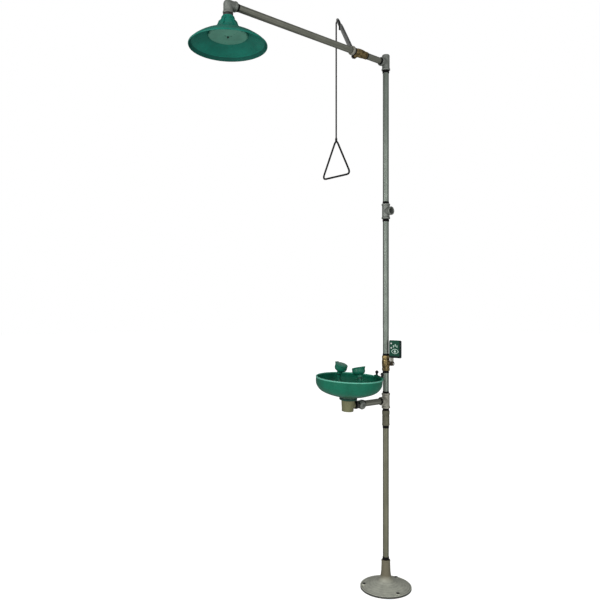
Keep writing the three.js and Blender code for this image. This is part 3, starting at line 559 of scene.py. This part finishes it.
def piece(name, shape, place, look, body="stand", instead_of=(), sharp=35):
    mesh = mesh_of(moved(shape, place), name)
    mesh.polygons.foreach_set("use_smooth", [True] * len(mesh.polygons))
    mesh.set_sharp_from_angle(angle=math.radians(sharp))
    mesh.materials.append(LOOKS[look])
    obj = added(name, mesh)
    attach(obj, body)
    if instead_of:
        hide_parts(*instead_of)
    return obj


def fine(node, shape, place, look, sharp=35):
    """The detailed piece that stands for one CAD node, on its body."""
    return piece(f"{node}_fine", shape, place, look, BODIES[node], [node], sharp)


def repaint(obj, look, chosen):
    """A second look, on the faces that chosen says yes to."""
    obj.data.materials.append(LOOKS[look])
    for face in obj.data.polygons:
        if chosen(face):
            face.material_index = 1


def pipe(node, look, place, start, end):
    """A cut pipe between two distances along place's z, in metres, in place of its CAD node."""
    r = PIPE_R / MM
    a, b = start / MM, end / MM
    shape = soft_lathe([
        (PIPE_BORE, a), (r - 0.6, a), (r, a + 0.8), (r, b - 0.8), (r - 0.6, b), (PIPE_BORE, b),
    ], 0.3)
    fine(node, shape, place, look)


def seal(name, place, start, length, proud=1.5, radius=PIPE_R):
    """The sealed thread that shows beyond a fitting: black, with the thread's crests.

    Start and radius are in metres, length and how far the crests stand proud in millimetres.
    """
    r = radius / MM
    profile = [(r - 1.5, 0), (r + proud * 0.5, 0)]
    for i in range(int(length / THREAD_PITCH)):
        profile.append((r + proud, (i + 0.35) * THREAD_PITCH))
        profile.append((r + proud * 0.45, (i + 0.9) * THREAD_PITCH))
    profile += [(r + proud * 0.3, length), (r - 1.5, length)]
    piece(f"seal_{name}", soft_lathe(profile, 0.3), place @ raised(start), "seal")


def leg(half, band, radius, start=0.0):
    """One leg of a cast fitting, with its reinforcing band, standing on the centre."""
    return soft_lathe([
        (0, start), (radius, start), (radius, half - 9.5), (band, half - 7.2),
        (band, half - 0.8), (band - 0.9, half), (0, half),
    ], 1.0, 56)


def socket(half):
    """What is cut from a leg: the waterway, the pipe's socket and the chamfer at its mouth."""
    return lathe([
        (0, -3), (WATERWAY, -3), (WATERWAY, half - SOCKET_DEPTH),
        (SOCKET_BORE, half - SOCKET_DEPTH), (SOCKET_BORE, half - 1.2),
        (SOCKET_BORE + 1.4, half + 1), (0, half + 1),
    ], 48)


def build_post():
    """The post's four pipes, and the sealed threads along it."""
    for node, look in (("lower_post", "pipe_low"), ("valve_nipple", "pipe_high"),
                       ("middle_post", "pipe_high"), ("upper_post", "pipe_high")):
        pipe(node, look, UPRIGHT, low(node).z, high(node).z)
    seal("flange", UPRIGHT, high("floor_flange").z, 13)
    seal("adapter_low", UPRIGHT, low("post_adapter").z - 0.012, 12)
    seal("adapter_high", UPRIGHT, low("eyewash_tee").z - 0.0105, 10.5)
    seal("tee_high", UPRIGHT, high("eyewash_tee").z, 8)
    seal("valve_low", UPRIGHT, low("eyewash_valve_body").z - 0.010, 10)
    seal("valve_high", UPRIGHT, high("eyewash_valve_end").z, 9)
    seal("supply_low", UPRIGHT, low("supply_tee").z - 0.012, 12)
    seal("supply_high", UPRIGHT, high("supply_tee").z, 10)
    seal("elbow", UPRIGHT, low("top_tee").z - 0.012, 12, 2.0)


def build_flange():
    """The floor flange: a flared hub on a lipped plate, with three drilled bolt bosses."""
    edge = high("floor_flange").x / MM
    top = high("floor_flange").z / MM
    flare = spline([(104, 10.2), (84, 17.0), (62, 25), (44, 30.4), (31.7, 40), (24.2, 55.2),
                    (20.8, 78)], 7)
    plate = soft_lathe([
        (0, 0), (edge - 1.5, 0), (edge, 1.5), (edge, 9.5), (edge - 1.8, 11.5), (edge - 5, 11.5),
        (edge - 7.6, 9.6), *flare, (19.4, top - 9), (20.2, top - 7.5), (20.2, top - 2), (18.6, top),
        (SOCKET_BORE + 0.8, top), (SOCKET_BORE, top - 1), (SOCKET_BORE, top - 39.5),
        (0, top - 39.5),
    ], 0.9, 128)
    boss = soft_lathe([(0, 2), (11, 2), (11, 14.8), (9.8, 16), (0, 16)], 0.8, 48)
    hole = lathe([(0, -1), (5.5, -1), (5.5, 14.8), (7.2, 17.5), (0, 17.5)], 40)
    out = Matrix.Translation((BOLT_REACH * MM, 0, 0))
    bolts = [Matrix.Rotation(math.radians(degrees), 4, "Z") @ out for degrees in FLANGE_BOLTS]
    bosses = [carved([moved(boss, bolt)], [moved(hole, bolt)]) for bolt in bolts]
    drilled = carved([plate], [moved(hole, bolt) for bolt in bolts])
    flange = fine("floor_flange", together(drilled, *bosses), UPRIGHT, "flange")

    def in_shaded_bolt_hole(face):
        return any((bolt.inverted() @ face.center).xy.length < 7.4 * MM for bolt in bolts)

    # painted shade: the bolt holes and their chamfers are coloured near black
    repaint(flange, "fitting_dark", in_shaded_bolt_hole)


def build_adapter():
    """The post's adapter, with a socket below and a waist above."""
    a, b = low("post_adapter").z / MM, low("eyewash_tee").z / MM - 10
    r = FITTING_R / MM
    shape = soft_lathe([
        (SOCKET_BORE, a), (r - 1.2, a), (r, a + 1.5), (r, a + 7), (r - 0.8, a + 8.5),
        (r - 0.8, b - 26), (r - 1.4, b - 24), (r - 1.4, b - 20), (r - 0.4, b - 18), (r, b - 10),
        (r, b - 1.5), (r - 1.2, b), (9, b), (9, a + 14), (SOCKET_BORE, a + 14),
    ], 0.7, 72)
    fine("post_adapter", shape, UPRIGHT, "fitting_brown")


def cast_fitting(node, look, place, hub, *ways, smoothing=5):
    """A cast fitting: a leg with a socket each way, melted into the hub at its centre."""
    half = FITTING_HALF / MM
    one = leg(half, BAND_R / MM, FITTING_R / MM)
    bore = socket(half)
    shape = carved([*hub, *(moved(one, way) for way in ways)], [moved(bore, way) for way in ways],
                   MELT, smoothing)
    fine(node, shape, place, look, sharp=50)


def build_fittings():
    """The tees on the post, the one closed on top that carries the arm, and the head's elbow."""
    r = FITTING_R / MM
    top = (high("top_tee").z - ARM_Z) / MM
    ball = lathe([(r * math.sin(math.pi * k / 24), -r * math.cos(math.pi * k / 24))
                  for k in range(25)], 48)
    crown = soft_lathe([
        (0, -3), (r, -3), (r, top - 3.5), (r - 1.2, top - 1), (r - 4, top), (0, top),
    ], 1.0, 56)
    at_head = Matrix.Translation((0, -HEAD_REACH, ARM_Z)) @ Matrix.Rotation(math.pi, 4, "Z")
    cast_fitting("eyewash_tee", "pale_zinc", raised(BRANCH_Z), [], UPRIGHT, UPSIDE_DOWN, LYING)
    cast_fitting("supply_tee", "fitting", raised(SUPPLY_Z), [], UPRIGHT, UPSIDE_DOWN, TO_RIGHT)
    cast_fitting("top_tee", "fitting", raised(ARM_Z), [crown], UPSIDE_DOWN, LYING, smoothing=4)
    cast_fitting("head_elbow", "fitting", at_head, [ball], UPSIDE_DOWN, LYING)


# ---- ball valves ----

def hex_end(across, start, end, inner):
    """A hexagon with chamfered corners, from start to end along z."""
    corner = across / math.sqrt(3)
    flat = across / 2
    drop = (corner - flat) * 0.6
    step = 1 if end > start else -1
    steps = [0, 0.35, 0.7, 1.0]
    edge_in = [(flat + (corner - flat) * t + 0.2, start + step * drop * t) for t in steps]
    edge_out = [(flat + (corner - flat) * t + 0.2, end - step * drop * t) for t in reversed(steps)]
    return lathe([(inner, start), *edge_in, *edge_out, (inner, end)], 96, across)


def build_valve(prefix, place, out):
    """The brass of one valve: its run along place's z, its stem towards out."""
    half = VALVE_HALF / MM
    shell = soft_lathe([
        (0, -24), (15.4, -24), (16.6, -18), (17.5, -10), (17.9, -3), (17.9, 9), (17.4, 14),
        (17.1, 17), (0, 17),
    ], 1.6, 64)
    neck = soft_lathe([
        (0, 0), (9.5, 0), (9.5, 21), (10.6, 23), (10.6, 27), (9.6, 28), (0, 28),
    ], 0.7, 48)
    throat = lathe([
        (0, -half - 1), (SOCKET_BORE + 1, -half - 1), (SOCKET_BORE, -half + 1),
        (SOCKET_BORE, -20.5), (0, -20.5),
    ], 48)
    inlet = hex_end(VALVE_FLATS, -half, -21, 0.0)
    body = carved([shell, inlet, moved(neck, out)], [throat], MELT, 3)
    fine(f"{prefix}_valve_body", body, place, "brass", sharp=45)
    collar = soft_lathe([(13, 17.3), (16.6, 17.3), (16.6, 20), (13, 20)], 0.5)
    screwed_end = together(collar, hex_end(VALVE_FLATS, 19, half, SOCKET_BORE))
    fine(f"{prefix}_valve_end", screwed_end, place, "brass")
    # painted shade: the gland nut takes the darker brass
    fine(f"{prefix}_gland_nut", hex_end(19, 28.3, 34, 5.3), place @ out, "brass_dark_and_shade")


def build_valves():
    """Both valves, and the nuts that clamp the flag and the lever to their stems."""
    valves = (("eyewash", raised(EYE_VALVE_Z), TO_RIGHT),
              ("shower", ARM @ raised(VALVE_REACH), TO_LEFT))
    for prefix, place, out in valves:
        build_valve(prefix, place, out)
    for prefix, place, out in valves:
        fine(f"{prefix}_handle_nut", hex_end(17, 37.6, 44.6, 5.3), place @ out, "brass_dark_and_shade")


# ---- push flag ----

def ring_slab(outer, inner, low_z, high_z):
    """A flat band between two outlines of equal length, in millimetres."""
    count = len(outer)
    points = [Vector((*p, z)) * MM for z in (low_z, high_z) for p in outer + inner]
    faces = []
    for k in range(count):
        n = (k + 1) % count
        faces += [
            [k, n, count + n, count + k],
            [2 * count + k, 2 * count + n, 3 * count + n, 3 * count + k],
            [k, n, 2 * count + n, 2 * count + k],
            [count + k, count + n, 3 * count + n, 3 * count + k],
        ]
    return points, faces


def build_flag():
    """A label on the push plate with a generic sign: drops falling on an open eye."""
    lo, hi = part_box("flag_plate")
    # the label stops 11 mm short of the plate's right edge and 9 mm above its bottom, so the near-black plate
    # shows as strips along those two sides
    left, right, bottom, top = 1.2, (hi.x - lo.x) / MM - 11, 9, (hi.z - lo.z) / MM - 1.2
    face = Matrix.Translation((lo.x, lo.y, lo.z)) @ LYING
    corners = [(left, bottom, 0), (right, bottom, 0), (right, top, 0), (left, top, 0)]
    piece("flag_label", slab(rounded(corners, 4.5), 0, 0.25), face, "sign",
          body="eyewash_flag")

    turns = [2 * math.pi * k / 64 for k in range(64)]
    lid = [(21 * math.cos(a), 11 * math.sin(a) * abs(math.sin(a)) ** 0.35) for a in turns]
    eye = together(ring_slab(lid, [(0.84 * x, 0.78 * y) for x, y in lid], 0, 0.2),
                   lathe([(0, 0), (5.6, 0), (5.6, 0.2), (0, 0.2)], 40))
    tear = [(3.4 * math.sin(a) * math.sin(a / 2), 6 * math.cos(a)) for a in turns[::2]]
    drops = [shifted(slab(tear, 0, 0.2), x, y) for x, y in ((26, 52), (36, 57), (46, 52))]
    piece("flag_sign", together(shifted(eye, 34, 29), *drops), face @ raised(0.25 * MM),
          "sign_print", body="eyewash_flag")


# ---- pull lever, rod and handle ----

def build_pull():
    """The rod, hooked at its top, and the wire triangle of its handle with the weld bead."""
    rod_r = (high("pull_rod").y - low("pull_rod").y) / 2
    y = middle("pull_rod").y
    x0 = low("pull_rod").x + rod_r
    x1 = high("pull_rod").x - rod_r
    hook = (x1 - x0) / 2
    top = high("pull_rod").z - rod_r
    bottom = low("pull_rod").z
    arc = []
    for k in range(17):
        a = math.pi * (1 - k / 16)
        arc.append(Vector(((x0 + x1) / 2 + hook * math.cos(a), y, top - hook + hook * math.sin(a))))
    path = [Vector((x0, y, bottom - 0.004)), Vector((x0, y, bottom + 0.2)), *arc,
            Vector((x1, y, ROD_HOOK.z - 0.0435))]
    fine("pull_rod", swept(path, rod_r, 20), UPRIGHT, "rod")

    lo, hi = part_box("pull_handle")
    wire = HANDLE_R * MM
    apex = hi.z - 0.006
    base = lo.z + wire
    half = (hi.x - lo.x) / 2 - wire + 0.0055
    loop = rounded([(x0, y, apex), (x0 - half, y, base), (x0 + half, y, base)], 0.024, 8)
    weld = soft_lathe([(0, -12), (3.4, -12), (4.9, -6), (5, 2), (3.6, 8), (0, 8)], 1.6, 32)
    bead = moved(weld, Matrix.Translation((x0, y, hi.z - 0.008)))
    fine("pull_handle", together(swept(loop, wire, 20, closed=True), bead), UPRIGHT, "handle")


# ---- shower arm and head ----

def build_arm():
    """The arm's two pipes, the ring beyond its valve and the sealed threads."""
    for node in ("arm_nipple", "shower_arm"):
        pipe(node, "pipe_arm", ARM, -high(node).y, -low(node).y)
    start = -high("sleeve_ring").y / MM
    end = -low("sleeve_ring").y / MM
    sleeve = soft_lathe([
        (SOCKET_BORE, start), (18, start), (19, start + 1.4), (19, end - 3.4), (18.2, end - 2.4),
        (18.2, end - 0.8), (17.4, end), (SOCKET_BORE, end),
    ], 0.8)
    fine("sleeve_ring", sleeve, ARM, "pale_zinc")
    seal("arm_elbow", ARM, FITTING_HALF, 10)
    seal("valve_inlet", ARM, VALVE_REACH - VALVE_HALF - 0.006, 6, 2.4)
    seal("sleeve", ARM, VALVE_REACH + VALVE_HALF, 9, 2.6)
    seal("head_elbow", ARM, HEAD_REACH - FITTING_HALF - 0.010, 10)


def build_head():
    """The ribbed bell with painted shade on its inner lip, the notched deflector and the bushing above."""
    under, over = low("shower_bell").z, high("shower_bell").z
    place = Matrix.Translation((0, -HEAD_REACH, under))
    edge = high("shower_bell").x / MM
    tall = (over - under) / MM
    outer = spline([(edge - 3.4, 7.4), (137, 10.8), (127, 19), (105, 33), (80, 44.5), (54, 57),
                    (38, 71), (31.5, 86)], 7)
    inner = spline([(26, 60), (40, 58.6), (52, 53.5), (79, 41.6), (103, 30.4), (122, 18.4),
                    (130, 15.4), (135, 11.0), (137.6, 7.0)], 7)
    shell = lathe([
        (edge - 2.2, 0), (edge - 0.6, 0.4), (edge, 2), (edge, 4), (edge - 0.8, 5.6), *outer,
        (30.5, 90), (22.5, 94), (22.5, tall - 2), (21, tall), (12.6, tall), (12.6, tall - 15),
        (9, tall - 15), (9, 62), (23, 58), *inner, (edge - 4.0, 4.4), (edge - 3.2, 1.2),
    ], 128)
    fin_outline = rounded([(15, 105), (24.4, 105), (25.4, 96), (33.5, 91), (37.5, 80), (48, 61),
                           (30, 66)], 1.2)
    fins = [moved(slab(fin_outline, -2, 2), Matrix.Rotation(math.pi * i / 3, 4, "Z") @ LYING)
            for i in range(6)]
    collars = [
        soft_lathe([(14, tall - 8), (23.8, tall - 8), (23.8, tall - 2.5), (14, tall - 2.5)], 1.0),
        soft_lathe([(20, 85), (32.6, 85), (32.6, 90), (20, 90)], 1.2),
    ]
    bridge = block(-4, 4, -12, 12, 56, 68)
    post = soft_lathe([(2.7, 38), (5.5, 38), (5.5, 60), (2.7, 60)], 0.6, 32)
    head = fine("shower_bell", together(shell, *fins, *collars, bridge, post), place, "head")

    def on_inner_lip(face):
        out = (face.center - place.translation).xy
        inward = face.normal.xy.dot(out) < 0
        return inward and face.center.z < under + 16.5 * MM and out.length > 133 * MM

    # painted shade: the inward face of the bell's lip is coloured darker
    repaint(head, "head_painted_shade", on_inner_lip)

    bottom = (low("deflector_plate").z - under) / MM
    radius = high("deflector_plate").x / MM
    disc = soft_lathe([
        (0, bottom), (radius - 4, bottom), (radius, bottom + 3), (radius - 1, bottom + 5),
        (radius - 5, bottom + 2.6), (0, bottom + 2.6),
    ], 0.8, 128)
    hole = lathe([(0, bottom - 3), (3, bottom - 3), (3, bottom + 6), (0, bottom + 6)], 24)
    notch = lathe([(0, bottom - 3), (4, bottom - 3), (4, bottom + 8), (0, bottom + 8)], 32)
    cuts = [*around(hole, 12, 3, 0.5), *around(notch, radius, 12, 0.2)]
    fine("deflector_plate", carved([disc], [together(*cuts)]), place, "deflector")

    start = tall + 0.3
    thread = soft_lathe([
        (9.8, start + 6), (15.6, start + 6), (15.6, start + 9.4), (9.8, start + 9.4),
    ], 0.5)
    bushing = together(hex_end(36, start, start + 6.6, 9.8), thread)
    fine("head_bushing", bushing, place, "fitting_dark")


# ---- eye and face wash ----

def head_place(side):
    """Where a spray head stands: on its filter's axis, leaning as its two discs do."""
    foot_to_filter = 22 * MM
    up = (middle(f"spray_face_{side}") - middle(f"spray_filter_{side}")).normalized()
    out = Vector(JOINTS[f"cap_{side}_hinge"]["axis"]).cross(up).normalized()
    matrix = Matrix((out, up.cross(out), up)).transposed().to_4x4()
    matrix.translation = middle(f"spray_filter_{side}") - up * foot_to_filter
    return matrix


def build_branch():
    """The branch to the bowl: its pipe, a tee with a plugged side port, and the feed stub."""
    pipe("bowl_nipple", "pipe_arm", BRANCH, -high("bowl_nipple").y, -low("bowl_nipple").y)
    seal("branch_post", BRANCH, FITTING_HALF, 10, 1.6)
    tee_at = -middle("branch_tee").y
    half = (high("branch_tee").y - low("branch_tee").y) / 2 / MM
    seal("branch_tee", BRANCH, tee_at - half * MM - 0.008, 8.2, 3.6)
    port = soft_lathe([
        (0, 0), (17, 0), (17, 16.5), (18.6, 19), (18.6, 24.2), (17.8, 25), (0, 25),
    ], 0.8, 56)
    one = leg(half, 18.6, 16.8, -4)
    body = carved([one, moved(one, UPSIDE_DOWN), moved(port, TO_RIGHT)],
                  [moved(socket(half), UPSIDE_DOWN)], MELT, 4)
    place = BRANCH @ raised(tee_at)
    fitting = fine("branch_tee", body, place, "fitting", sharp=50)

    def at_run_end(face):
        return abs((place.inverted() @ face.center).z) > (half - 8.5) * MM

    repaint(fitting, "fitting_dark", at_run_end)
    plug = carved(
        [soft_lathe([(0, 25.3), (16.5, 25.3), (16.5, 28), (14.5, 30.5), (0, 30.5)], 0.9, 64)],
        [block(-4.5, 4.5, -4.5, 4.5, 27.5, 31)],
    )
    fine("branch_plug", plug, place @ TO_RIGHT, "fitting")
    stub_r = high("feed_stub").x / MM
    start, end = -high("feed_stub").y / MM, -low("feed_stub").y / MM
    stub = soft_lathe([(7.8, start), (stub_r, start), (stub_r, end), (7.8, end)], 0.5)
    fine("feed_stub", stub, BRANCH, "brass")
    seal("stub_in", BRANCH, tee_at + half * MM, 7, 5.6, high("feed_stub").x)


def build_cup():
    """The waste cup with its feed port, and the clamp and gasket under the bowl."""
    shell = soft_lathe([
        (22, -23), (24.4, -23), (25.2, -22), (25.3, -18.5), (25, -17.5), (28.8, 22), (29, 23.4),
        (28.4, 25), (22, 25), (22, 45), (19.2, 45), (19.2, 22), (25.2, 20),
    ], 0.6, 96)
    port = soft_lathe([(11.1, 20.5), (13.5, 20.5), (13.5, 34), (11.1, 34)], 0.8, 48)
    fine("waste_cup", together(shell, moved(port, TO_BACK)), WASH, "olive")
    clamp = soft_lathe([
        (22.3, 25.3), (36, 25.3), (38, 27.3), (38, 33), (36, 35), (22.3, 35),
    ], 1.0, 96)
    fine("bowl_clamp", clamp, WASH, "clamp")
    gasket = soft_lathe([(22.3, 35.3), (36, 35.3), (36, 37.7), (22.3, 37.7)], 0.6, 96)
    # the gasket's pale look is partly a painted highlight along the bowl's underside
    fine("bowl_gasket", gasket, WASH, "gasket")


def above_wash(face):
    """How far a face is above the wash's origin along its leaning axis, in millimetres."""
    return (WASH.inverted() @ face.center).z / MM


def build_bowl():
    """The bowl, moulded with a turned-out lip whose top is painted pale as a highlight."""
    sweep = spline([(40, BOWL_FLOOR), (87.5, BOWL_FLOOR + 12.5), (120, BOWL_FLOOR + 27),
                    (136.5, BOWL_FLOOR + 46), (140.8, BOWL_FLOOR + 62), (141, BOWL_TOP - 9)], 9)
    inner = []
    for i, p in enumerate(sweep):
        along = (sweep[min(i + 1, len(sweep) - 1)] - sweep[max(i - 1, 0)]).normalized()
        inner.append(Vector((p.x - along.y * BOWL_WALL, p.y + along.x * BOWL_WALL)))
    profile = [
        (24.5, BOWL_FLOOR), (39, BOWL_FLOOR), *sweep, (BOWL_R - 0.4, BOWL_TOP - 6.5),
        (BOWL_R, BOWL_TOP - 5), (BOWL_R, BOWL_TOP - 1.2), (BOWL_R - 1.2, BOWL_TOP),
        (BOWL_R - 4, BOWL_TOP), (BOWL_R - 5.2, BOWL_TOP - 1.4), (BOWL_R - 4.6, BOWL_TOP - 5),
        *reversed(inner), (24.5, BOWL_FLOOR + BOWL_WALL),
    ]
    shell = fine("bowl", soft_lathe(profile, 0.5, 144), WASH, "bowl")
    # painted highlight: the top of the lip is coloured pale all round
    repaint(shell, "rim", lambda face: above_wash(face) > BOWL_TOP - 4.2)


def build_strainer():
    """The domed strainer over the drain, with a ring of holes."""
    rise = BOWL_FLOOR + BOWL_WALL + 0.3
    dome = soft_lathe([
        (7.6, 47), (15, 46), (22.4, 46), (22.4, rise), (33, rise), (33, rise + 1.2), (25, 47.6),
        (16, 48.4), (7.6, 49.4),
    ], 0.5, 96)
    hole = lathe([(0, 40), (2.1, 40), (2.1, 55), (0, 55)], 24)
    fine("strainer", carved([dome], [together(*around(hole, 12.2, 8))]), WASH, "wash")


def build_yoke():
    """The hub and the two arms that carry water up to the spray heads."""
    parts = [soft_lathe([
        (7.3, 50), (12.5, 50), (12.5, 70), (7.5, 76), (0, 76), (0, 60), (7.3, 60),
    ], 1.2, 64)]
    for side in (-1, 1):
        a, b, c, d = (Vector(p) * MM for p in (
            (0, 0, 64), (side * 46, 0, 57), (side * 74, 0, 88), (side * 60, 0, 134)))
        path = []
        for k in range(29):
            t = k / 28
            path.append(a * (1 - t) ** 3 + b * 3 * t * (1 - t) ** 2 + c * 3 * t ** 2 * (1 - t)
                        + d * t ** 3)
        parts.append(swept(path, 8 * MM, 28))
    ring = soft_lathe([(8.2, 0), (10.6, 0), (10.6, 5), (8.2, 5)], 0.8, 48)
    fine("feed_yoke", together(*parts), WASH, "wash")
    for side in ("left", "right"):
        place = head_place(side) @ raised(-9 * MM)
        piece(f"yoke_ring_{side}", ring, place, "clamp")


def knuckle(y0, y1, web, hinge_x, hinge_z):
    """A hinge barrel across the head, with a web to what carries it."""
    barrel = soft_lathe([(1.5, y0), (3.2, y0), (3.2, y1), (1.5, y1)], 0.4, 32)
    barrel = shifted(moved(barrel, TO_BACK), hinge_x, 0, hinge_z)
    return [barrel, block(web[0], hinge_x - 1, y0, y1, web[1], web[2])]


def build_spray(side):
    """One spray head: its body with hinge lugs, its drilled face and its dust cap."""
    place = head_place(side)
    hinge = place.inverted() @ CAP_HINGES[side] / MM
    r = SPRAY_R
    shell = soft_lathe([
        (8.6, -4), (10.8, -4), (11.6, -3), (11.6, 6.5), (18, 8.5), (24, 13), (r, 19), (r, 30.4),
        (r - 0.8, 31), (r - 0.8, 32), (r, 32.6), (r, 34), (23.5, 34), (23.5, 18), (9, 9.5), (6, 8),
        (6, 0.3), (8.6, 0.3),
    ], 0.9, 96)
    body_web = (25, 26, 33.8)
    lugs = [*knuckle(4.6, 8.6, body_web, hinge.x, hinge.z),
            *knuckle(-8.6, -4.6, body_web, hinge.x, hinge.z)]
    fine(f"spray_body_{side}", together(shell, *lugs), place, "wash")

    disc = soft_lathe([(0, 26.3), (23.2, 26.3), (23.2, 29.3), (0, 29.3)], 0.6, 96)
    hole = lathe([(0, 20), (1.25, 20), (1.25, 40), (0, 40)], 16)
    jets = [jet for reach, count in ((0, 1), (7, 6), (13, 12), (19, 18))
            for jet in around(hole, reach, count)]
    fine(f"spray_face_{side}", carved([disc], [together(*jets)]), place, "wash")

    lid = soft_lathe([
        (0, 31.5), (22.6, 31.5), (22.6, 34.3), (r, 34.3), (r, 36.4), (r - 1.6, 38), (r - 5, 38.5),
        (r - 6, 38.1), (r - 9, 38.1), (r - 10, 38.7), (0, 38.8),
    ], 0.7, 96)
    pin = lathe([(0, -8.4), (1.5, -8.4), (1.5, 8.4), (0, 8.4)], 24)
    pin = shifted(moved(pin, TO_BACK), hinge.x, 0, hinge.z)
    cap_web = (22, 34.3, 37.3)
    cap = together(lid, *knuckle(-4.2, 4.2, cap_web, hinge.x, hinge.z), pin)
    fine(f"dust_cap_{side}", cap, place, "wash")


def build_rim_clip():
    """The plastic saddle clipped over the rim, and its two round-headed rubber studs."""
    top = BOWL_TOP
    outline = rounded([
        (BOWL_R - 8.2, top - 9), (BOWL_R - 8.2, top + 3.5), (BOWL_R + 2.4, top + 3.5),
        (BOWL_R + 2.4, top - 9), (BOWL_R + 0.4, top - 9), (BOWL_R + 0.4, top + 0.4),
        (BOWL_R - 5.9, top + 0.4), (BOWL_R - 5.9, top - 9),
    ], 1.0)
    first, last = STUD_ANGLES[0] - 5, STUD_ANGLES[1] + 5
    steps = 24
    count = len(outline)
    points, faces = [], []
    for i in range(steps + 1):
        a = math.radians(first + (last - first) * i / steps)
        points += [Vector((p.x * math.cos(a), p.x * math.sin(a), p.y)) * MM for p in outline]
    for i in range(steps):
        for k in range(count):
            n = (k + 1) % count
            faces.append([i * count + k, i * count + n, (i + 1) * count + n, (i + 1) * count + k])
    faces += [list(range(count)), list(range(steps * count, (steps + 1) * count))]

    knob = [(7.4 * math.sin(math.pi * k / 18), top + 17 - 7.4 * math.cos(math.pi * k / 18))
            for k in range(4, 19)]
    stud = lathe([(0, top + 2), (6, top + 2), (6, top + 4.6), (4.6, top + 6), *knob], 40)
    reach = BOWL_R - 2.6
    studs = [shifted(stud, reach * math.cos(a), reach * math.sin(a))
             for a in map(math.radians, STUD_ANGLES)]
    clip = fine("rim_clip", together((points, faces), *studs), WASH, "bowl")
    repaint(clip, "rubber", lambda face: above_wash(face) > top + 3.6)


# ---- CAD nodes that stay ----

def dress_cad():
    """Every CAD node takes its finish, and the flat steel parts get eased edges."""
    finishes = {
        "cast_flange": "flange", "galvanised_pipe": "pipe_high", "galvanised_fitting": "fitting",
        "brass": "brass", "valve_seat": "seat", "stainless": "stainless", "lever_steel": "lever",
        "rod_steel": "rod", "head_plastic": "head", "cup_metal": "olive", "rubber": "rubber",
        "filter_foam": "foam", "sign_plate": "plate", "clamp_plastic": "clamp",
        "bowl_plastic": "bowl", "wash_plastic": "wash",
    }
    special = {"flag_strap": "strap", "deflector_screw": "rod"}
    for node, obj in frame["nodes"].items():
        look = special.get(node, finishes[SLOTS[node]])
        obj.data.materials.clear()
        obj.data.materials.append(LOOKS[look])
    for node in ("pull_lever", "flag_strap", "flag_plate"):
        obj = frame["nodes"][node]
        flat = obj.modifiers.new("flat", "DECIMATE")
        flat.decimate_type = "DISSOLVE"
        flat.angle_limit = math.radians(2)
        ease = obj.modifiers.new("ease", "BEVEL")
        ease.width = 0.5 * MM
        ease.segments = 2
        ease.limit_method = "ANGLE"
        ease.angle_limit = math.radians(40)


# ---- studio ----

FRONT_AND_BELOW = Vector((0.62, -0.68, -0.38))


def build_studio():
    floor_shape = block(-30e3, 30e3, -30e3, 30e3, -40, 0)
    floor = added("studio_floor", mesh_of(floor_shape, "studio_floor"))
    pale = Look("studio_floor", (0.45, 0.45, 0.45), 0.9, Specular_IOR_Level=0.0,
                Emission_Color=(1, 1, 1, 1), Emission_Strength=0.92)
    floor.data.materials.append(pale.material)
    floor.visible_glossy = False
    floor.visible_diffuse = False

    aim = Vector((0, -0.35, 1.25))
    for name, place, size, power in (
        ("key", (0.2, -3.8, 1.9), 1.6, 40), ("fill", (3.8, -1.4, 1.6), 1.4, 26),
        ("top", (0.4, -0.6, 5.2), 2.5, 6), ("back", (-2.6, 2.6, 2.8), 1.6, 8),
    ):
        light = bpy.data.lights.new(name, "AREA")
        light.size = size
        light.energy = power
        lamp = added(name, light)
        lamp.location = place
        lamp.rotation_euler = (aim - Vector(place)).to_track_quat("-Z", "Y").to_euler()

    # a white backdrop, and a room that is brighter on the camera's side than behind
    world = bpy.data.worlds.new("studio")
    bpy.context.scene.world = world
    world.use_nodes = True
    nodes, links = world.node_tree.nodes, world.node_tree.links
    backdrop = nodes["Background"]
    backdrop.inputs["Color"].default_value = (1, 1, 1, 1)
    backdrop.inputs["Strength"].default_value = 1.0
    room = nodes.new("ShaderNodeBackground")
    room.inputs["Color"].default_value = (1, 1, 1, 1)
    facing = nodes.new("ShaderNodeVectorMath")
    facing.operation = "DOT_PRODUCT"
    links.new(nodes.new("ShaderNodeTexCoord").outputs["Generated"], facing.inputs[0])
    facing.inputs[1].default_value = FRONT_AND_BELOW
    brightness = nodes.new("ShaderNodeMapRange")
    links.new(facing.outputs["Value"], brightness.inputs["Value"])
    for socket, number in (("From Min", -1), ("From Max", 1), ("To Min", 0.06), ("To Max", 1.05)):
        brightness.inputs[socket].default_value = number
    links.new(brightness.outputs["Result"], room.inputs["Strength"])
    path = nodes.new("ShaderNodeLightPath")
    mix = nodes.new("ShaderNodeMixShader")
    links.new(path.outputs["Is Camera Ray"], mix.inputs["Fac"])
    links.new(room.outputs["Background"], mix.inputs[1])
    links.new(backdrop.outputs["Background"], mix.inputs[2])
    links.new(mix.outputs["Shader"], nodes["World Output"].inputs["Surface"])
    bpy.context.scene.view_settings.view_transform = "Standard"


def build_camera():
    """Level, from the front right, with a slight rise of the lens."""
    camera = bpy.data.cameras.new("camera")
    camera.lens = 38.08
    camera.sensor_width = 36
    camera.shift_y = 0.0161
    camera.clip_end = 100
    obj = added("camera", camera)
    obj.location = (1.9235, -2.1379, 1.2490)
    obj.rotation_euler = (math.radians(90), 0, math.radians(49.68))
    bpy.context.scene.camera = obj


build_camera()
build_studio()
dress_cad()
build_post()
build_flange()
build_adapter()
build_fittings()
build_valves()
build_flag()
build_pull()
build_arm()
build_head()
build_branch()
build_cup()
build_bowl()
build_strainer()
build_yoke()
for head_side in ("left", "right"):
    build_spray(head_side)
build_rim_clip()
